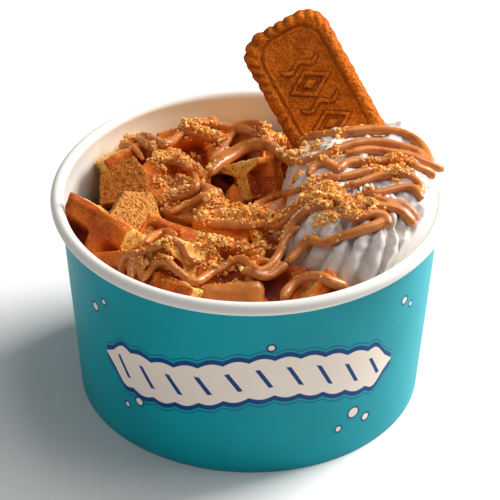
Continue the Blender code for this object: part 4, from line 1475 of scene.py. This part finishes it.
def strand(name, pixels, thickness, ground, draw):
    """One drizzled strand, laid on the food along the pixels that it passes through."""
    radius = thickness * MM / 2
    lift = STRAND_LIFT * radius
    route = smooth_curve([Vector(pixel) for pixel in pixels], CURVE_PARTS)
    found = [ground.under(pixel, lift) for pixel in route]
    heights = [place.z for _, place in found]
    heights = eased(eased(heights, EASE_REACH), EASE_REACH)
    drops = eased([moved.y - pixel.y for pixel, (moved, _) in zip(route, found)], EASE_REACH)
    route = [pixel + Vector((0, drop)) for pixel, drop in zip(route, drops)]
    path = []
    for pixel, height in zip(route, heights):
        start, ahead = photo_ray(pixel)
        path.append(start + ahead * ((start.z - height) / -ahead.z))
    curve = bpy.data.curves.new(name, "CURVE")
    curve.dimensions = "3D"
    curve.bevel_depth = radius
    curve.bevel_resolution = 3
    curve.use_fill_caps = True
    line = curve.splines.new("POLY")
    line.points.add(len(path) - 1)
    phase = draw.uniform(0, 2 * math.pi)
    for number, point in enumerate(path):
        line.points[number].co = (*point, 1.0)
        end = min(number, len(path) - 1 - number)
        tip = min(1.0, STRAND_TIP + STRAND_TIP_RISE * end)
        line.points[number].radius = tip * (1 + STRAND_WAVE * math.sin(number * STRAND_WAVE_TURN + phase))
    piece = bpy.data.objects.new(name, curve)
    bpy.context.scene.collection.objects.link(piece)
    pick(piece)
    bpy.ops.object.convert(target="MESH")
    return bpy.context.object


def melt_together(piece):
    """Joins touching strands into one soft mass, as warm spread runs together."""
    apply_modifier(piece, "REMESH", mode="VOXEL", voxel_size=SPREAD_VOXEL)
    apply_modifier(piece, "SMOOTH", factor=0.5, iterations=SPREAD_PASSES)


class DESSERT_OT_spread(bpy.types.Operator):
    """Drizzles the biscuit spread over the waffle pieces and the cream"""

    bl_idname = "dessert.spread"
    bl_label = "Biscuit spread"

    def execute(self, context):
        draw = random.Random(chosen("stage").seed + 1)
        ground = Ground(FOOD)
        finish = glossy_spread()
        for node, routes in (("waffle_heap", STRANDS_ON_HEAP), ("cream", STRANDS_ON_CREAM)):
            name = "spread_on_" + SLOTS[node]
            strands = [
                strand(f"{name}_{number}", pixels, thickness, ground, draw)
                for number, (pixels, thickness) in enumerate(routes)
            ]
            piece = join(strands, name)
            melt_together(piece)
            dress(piece, finish)
            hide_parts(node)
        return {"FINISHED"}


# Crumbs


def grain_shape():
    """A small faceted grain of radius 1: its points and its faces."""
    start_afresh()
    bpy.ops.mesh.primitive_ico_sphere_add(subdivisions=1, radius=1.0)
    grain = bpy.context.object
    points = points_of(grain)
    faces = np.array([face.vertices[:] for face in grain.data.polygons])
    bpy.data.objects.remove(grain)
    return points, faces


def grains(name, places, sizes, tones, draw):
    """Joins uneven, turned copies of one grain into a mesh."""
    shape, faces = grain_shape()
    count = len(places)
    rng = np.random.default_rng(draw.randrange(1 << 30))
    stretch = rng.uniform(0.5, 1.45, (count, 1, 3))
    rough = rng.uniform(0.5, 1.25, (count, len(shape), 1))
    turns = rng.normal(size=(count, 3, 3))
    turns = np.linalg.qr(turns)[0]
    turns *= np.sign(np.linalg.det(turns))[:, None, None]
    bodies = shape[None] * stretch * rough * np.array(sizes)[:, None, None]
    bodies = np.einsum("nij,nkj->nki", turns, bodies) + np.array(places)[:, None, :]
    all_faces = faces[None] + (np.arange(count) * len(shape))[:, None, None]
    mesh = bpy.data.meshes.new(name)
    mesh.from_pydata(bodies.reshape(-1, 3).tolist(), [], all_faces.reshape(-1, 3).tolist())
    piece = bpy.data.objects.new(name, mesh)
    bpy.context.scene.collection.objects.link(piece)
    write_values(piece, "tone", np.repeat(np.array(tones), len(shape)))
    return piece


class DESSERT_OT_crumbs(bpy.types.Operator):
    """Scatters the golden biscuit crumbs in clusters, in lumps and as loose grains"""

    bl_idname = "dessert.crumbs"
    bl_label = "Golden crumbs"

    def execute(self, context):
        draw = random.Random(chosen("stage").seed + 2)
        ground = Ground((*FOOD, "spread_on_waffle", "spread_on_cream"))
        scattered = {"waffle_heap": [], "cream": []}

        def drop(x, y, size, tone, pile):
            if math.hypot(x, y) > inside_radius(NECK_HEIGHT) - 2 * MM:
                return
            on_cream = abs(x - CREAM_CENTRE.x) < CREAM_REACH[0] and abs(y - CREAM_CENTRE.y) < CREAM_REACH[1]
            z = ground.top(x, y) + size * 0.35 + pile
            scattered["cream" if on_cream else "waffle_heap"].append(((x, y, z), size, tone))

        for pixel, spread, count in CLUSTERS:
            middle = ground.under(pixel)[1]
            for _ in range(count):
                away = min(abs(draw.gauss(0, 0.62)), 1.8)
                turn = draw.uniform(0, 2 * math.pi)
                x = middle.x + spread * MM * away * math.cos(turn)
                y = middle.y + spread * MM * away * math.sin(turn)
                size = min(0.34 + abs(draw.gauss(0, 0.28)), 1.2) * MM
                pile = max(0.0, 1 - away) * draw.uniform(0, CLUSTER_PILE) * MM
                drop(x, y, size, draw.gauss(*CLUSTER_TONE), pile)
        for px, py, width in LUMPS:
            middle = ground.under((px, py))[1]
            for _ in range(int(LUMP_GRAINS * width)):
                x = middle.x + draw.gauss(0, LUMP_SPREAD) * width * MM
                y = middle.y + draw.gauss(0, LUMP_SPREAD) * width * MM
                pile = draw.uniform(0, 0.55) * width * MM * 0.8
                drop(x, y, draw.uniform(0.4, 0.95) * MM, draw.gauss(*LUMP_TONE), pile)
        for _ in range(LOOSE_GRAINS):
            pixel = (draw.uniform(*LOOSE_ACROSS), draw.uniform(*LOOSE_DOWN))
            middle = ground.under(pixel)[1]
            drop(middle.x, middle.y, draw.uniform(0.2, 0.5) * MM, draw.gauss(*LOOSE_TONE), 0.0)

        finish = golden_crumb()
        for node, rows in scattered.items():
            places, sizes, tones = zip(*rows)
            piece = grains("crumbs_on_" + SLOTS[node], places, sizes, tones, draw)
            dress(piece, finish, smooth=30)
            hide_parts(node)
        return {"FINISHED"}


# Stage


def area_light(name, power, size, at, tint):
    """A soft square light that shines at the tub's contents."""
    light = bpy.data.lights.new(name, "AREA")
    light.energy = power
    light.size = size
    light.color = tint
    lamp = bpy.data.objects.new(name, light)
    aim = (Vector(LIGHT_AIM) - Vector(at)).to_track_quat("-Z", "Y")
    lamp.matrix_world = Matrix.Translation(at) @ aim.to_matrix().to_4x4()
    bpy.context.scene.collection.objects.link(lamp)


class DESSERT_OT_stage(bpy.types.Operator):
    """Lays the pale floor, hangs the soft lights and sets the camera at the photograph's angle"""

    bl_idname = "dessert.stage"
    bl_label = "Studio"

    def execute(self, context):
        picked = chosen("stage")
        start_afresh()
        bpy.ops.mesh.primitive_plane_add(size=FLOOR_SIZE, location=(0, 0, 0))
        ground = context.object
        ground.name = "studio_floor"
        finish = Board("studio_floor").finish(base_color=picked.ground, roughness=0.9)
        ground.data.materials.append(finish)

        for name, (size, at, tint) in LIGHTS.items():
            area_light(name, getattr(picked, name), size, at, tint)
        world = bpy.data.worlds.new("studio")
        world.use_nodes = True
        sky = world.node_tree.nodes["Background"]
        sky.inputs["Color"].default_value = (1.0, 1.0, 1.0, 1.0)
        sky.inputs["Strength"].default_value = picked.world
        context.scene.world = world
        context.scene.view_settings.view_transform = "Standard"

        camera = bpy.data.cameras.new("camera")
        camera.lens = CAMERA_LENS
        camera.sensor_width = CAMERA_SENSOR
        camera.clip_start = 0.05
        camera.clip_end = 20.0
        viewer = bpy.data.objects.new("camera", camera)
        viewer.matrix_world = Matrix.Translation(CAMERA_PLACE) @ camera_turn()
        context.scene.collection.objects.link(viewer)
        context.scene.camera = viewer
        return {"FINISHED"}


class DESSERT_PT_panel(bpy.types.Panel):
    """Lists the dessert's pieces and their settings"""

    bl_label = "Waffle dessert tub"
    bl_idname = "DESSERT_PT_panel"
    bl_space_type = "VIEW_3D"
    bl_region_type = "UI"
    bl_category = "Dessert"

    def draw(self, context):
        for operator in OPERATORS:
            self.layout.operator(operator.bl_idname)
        for name, group in GROUPS.items():
            box = self.layout.box()
            for field in group.__annotations__:
                box.prop(getattr(context.scene, name), field)


OPERATORS = (
    DESSERT_OT_stage,
    DESSERT_OT_tub,
    DESSERT_OT_waffle,
    DESSERT_OT_cream,
    DESSERT_OT_biscuit,
    DESSERT_OT_broken,
    DESSERT_OT_spread,
    DESSERT_OT_crumbs,
)
CLASSES = (*GROUPS.values(), *OPERATORS, DESSERT_PT_panel)


def register():
    for made in CLASSES:
        bpy.utils.register_class(made)
    for name, group in GROUPS.items():
        setattr(bpy.types.Scene, name, PointerProperty(type=group))


def unregister():
    for name in GROUPS:
        delattr(bpy.types.Scene, name)
    for made in reversed(CLASSES):
        bpy.utils.unregister_class(made)


def main():
    register()
    for operator in OPERATORS:
        group, name = operator.bl_idname.split(".")
        getattr(getattr(bpy.ops, group), name)()


if __name__ == "__main__":
    main()
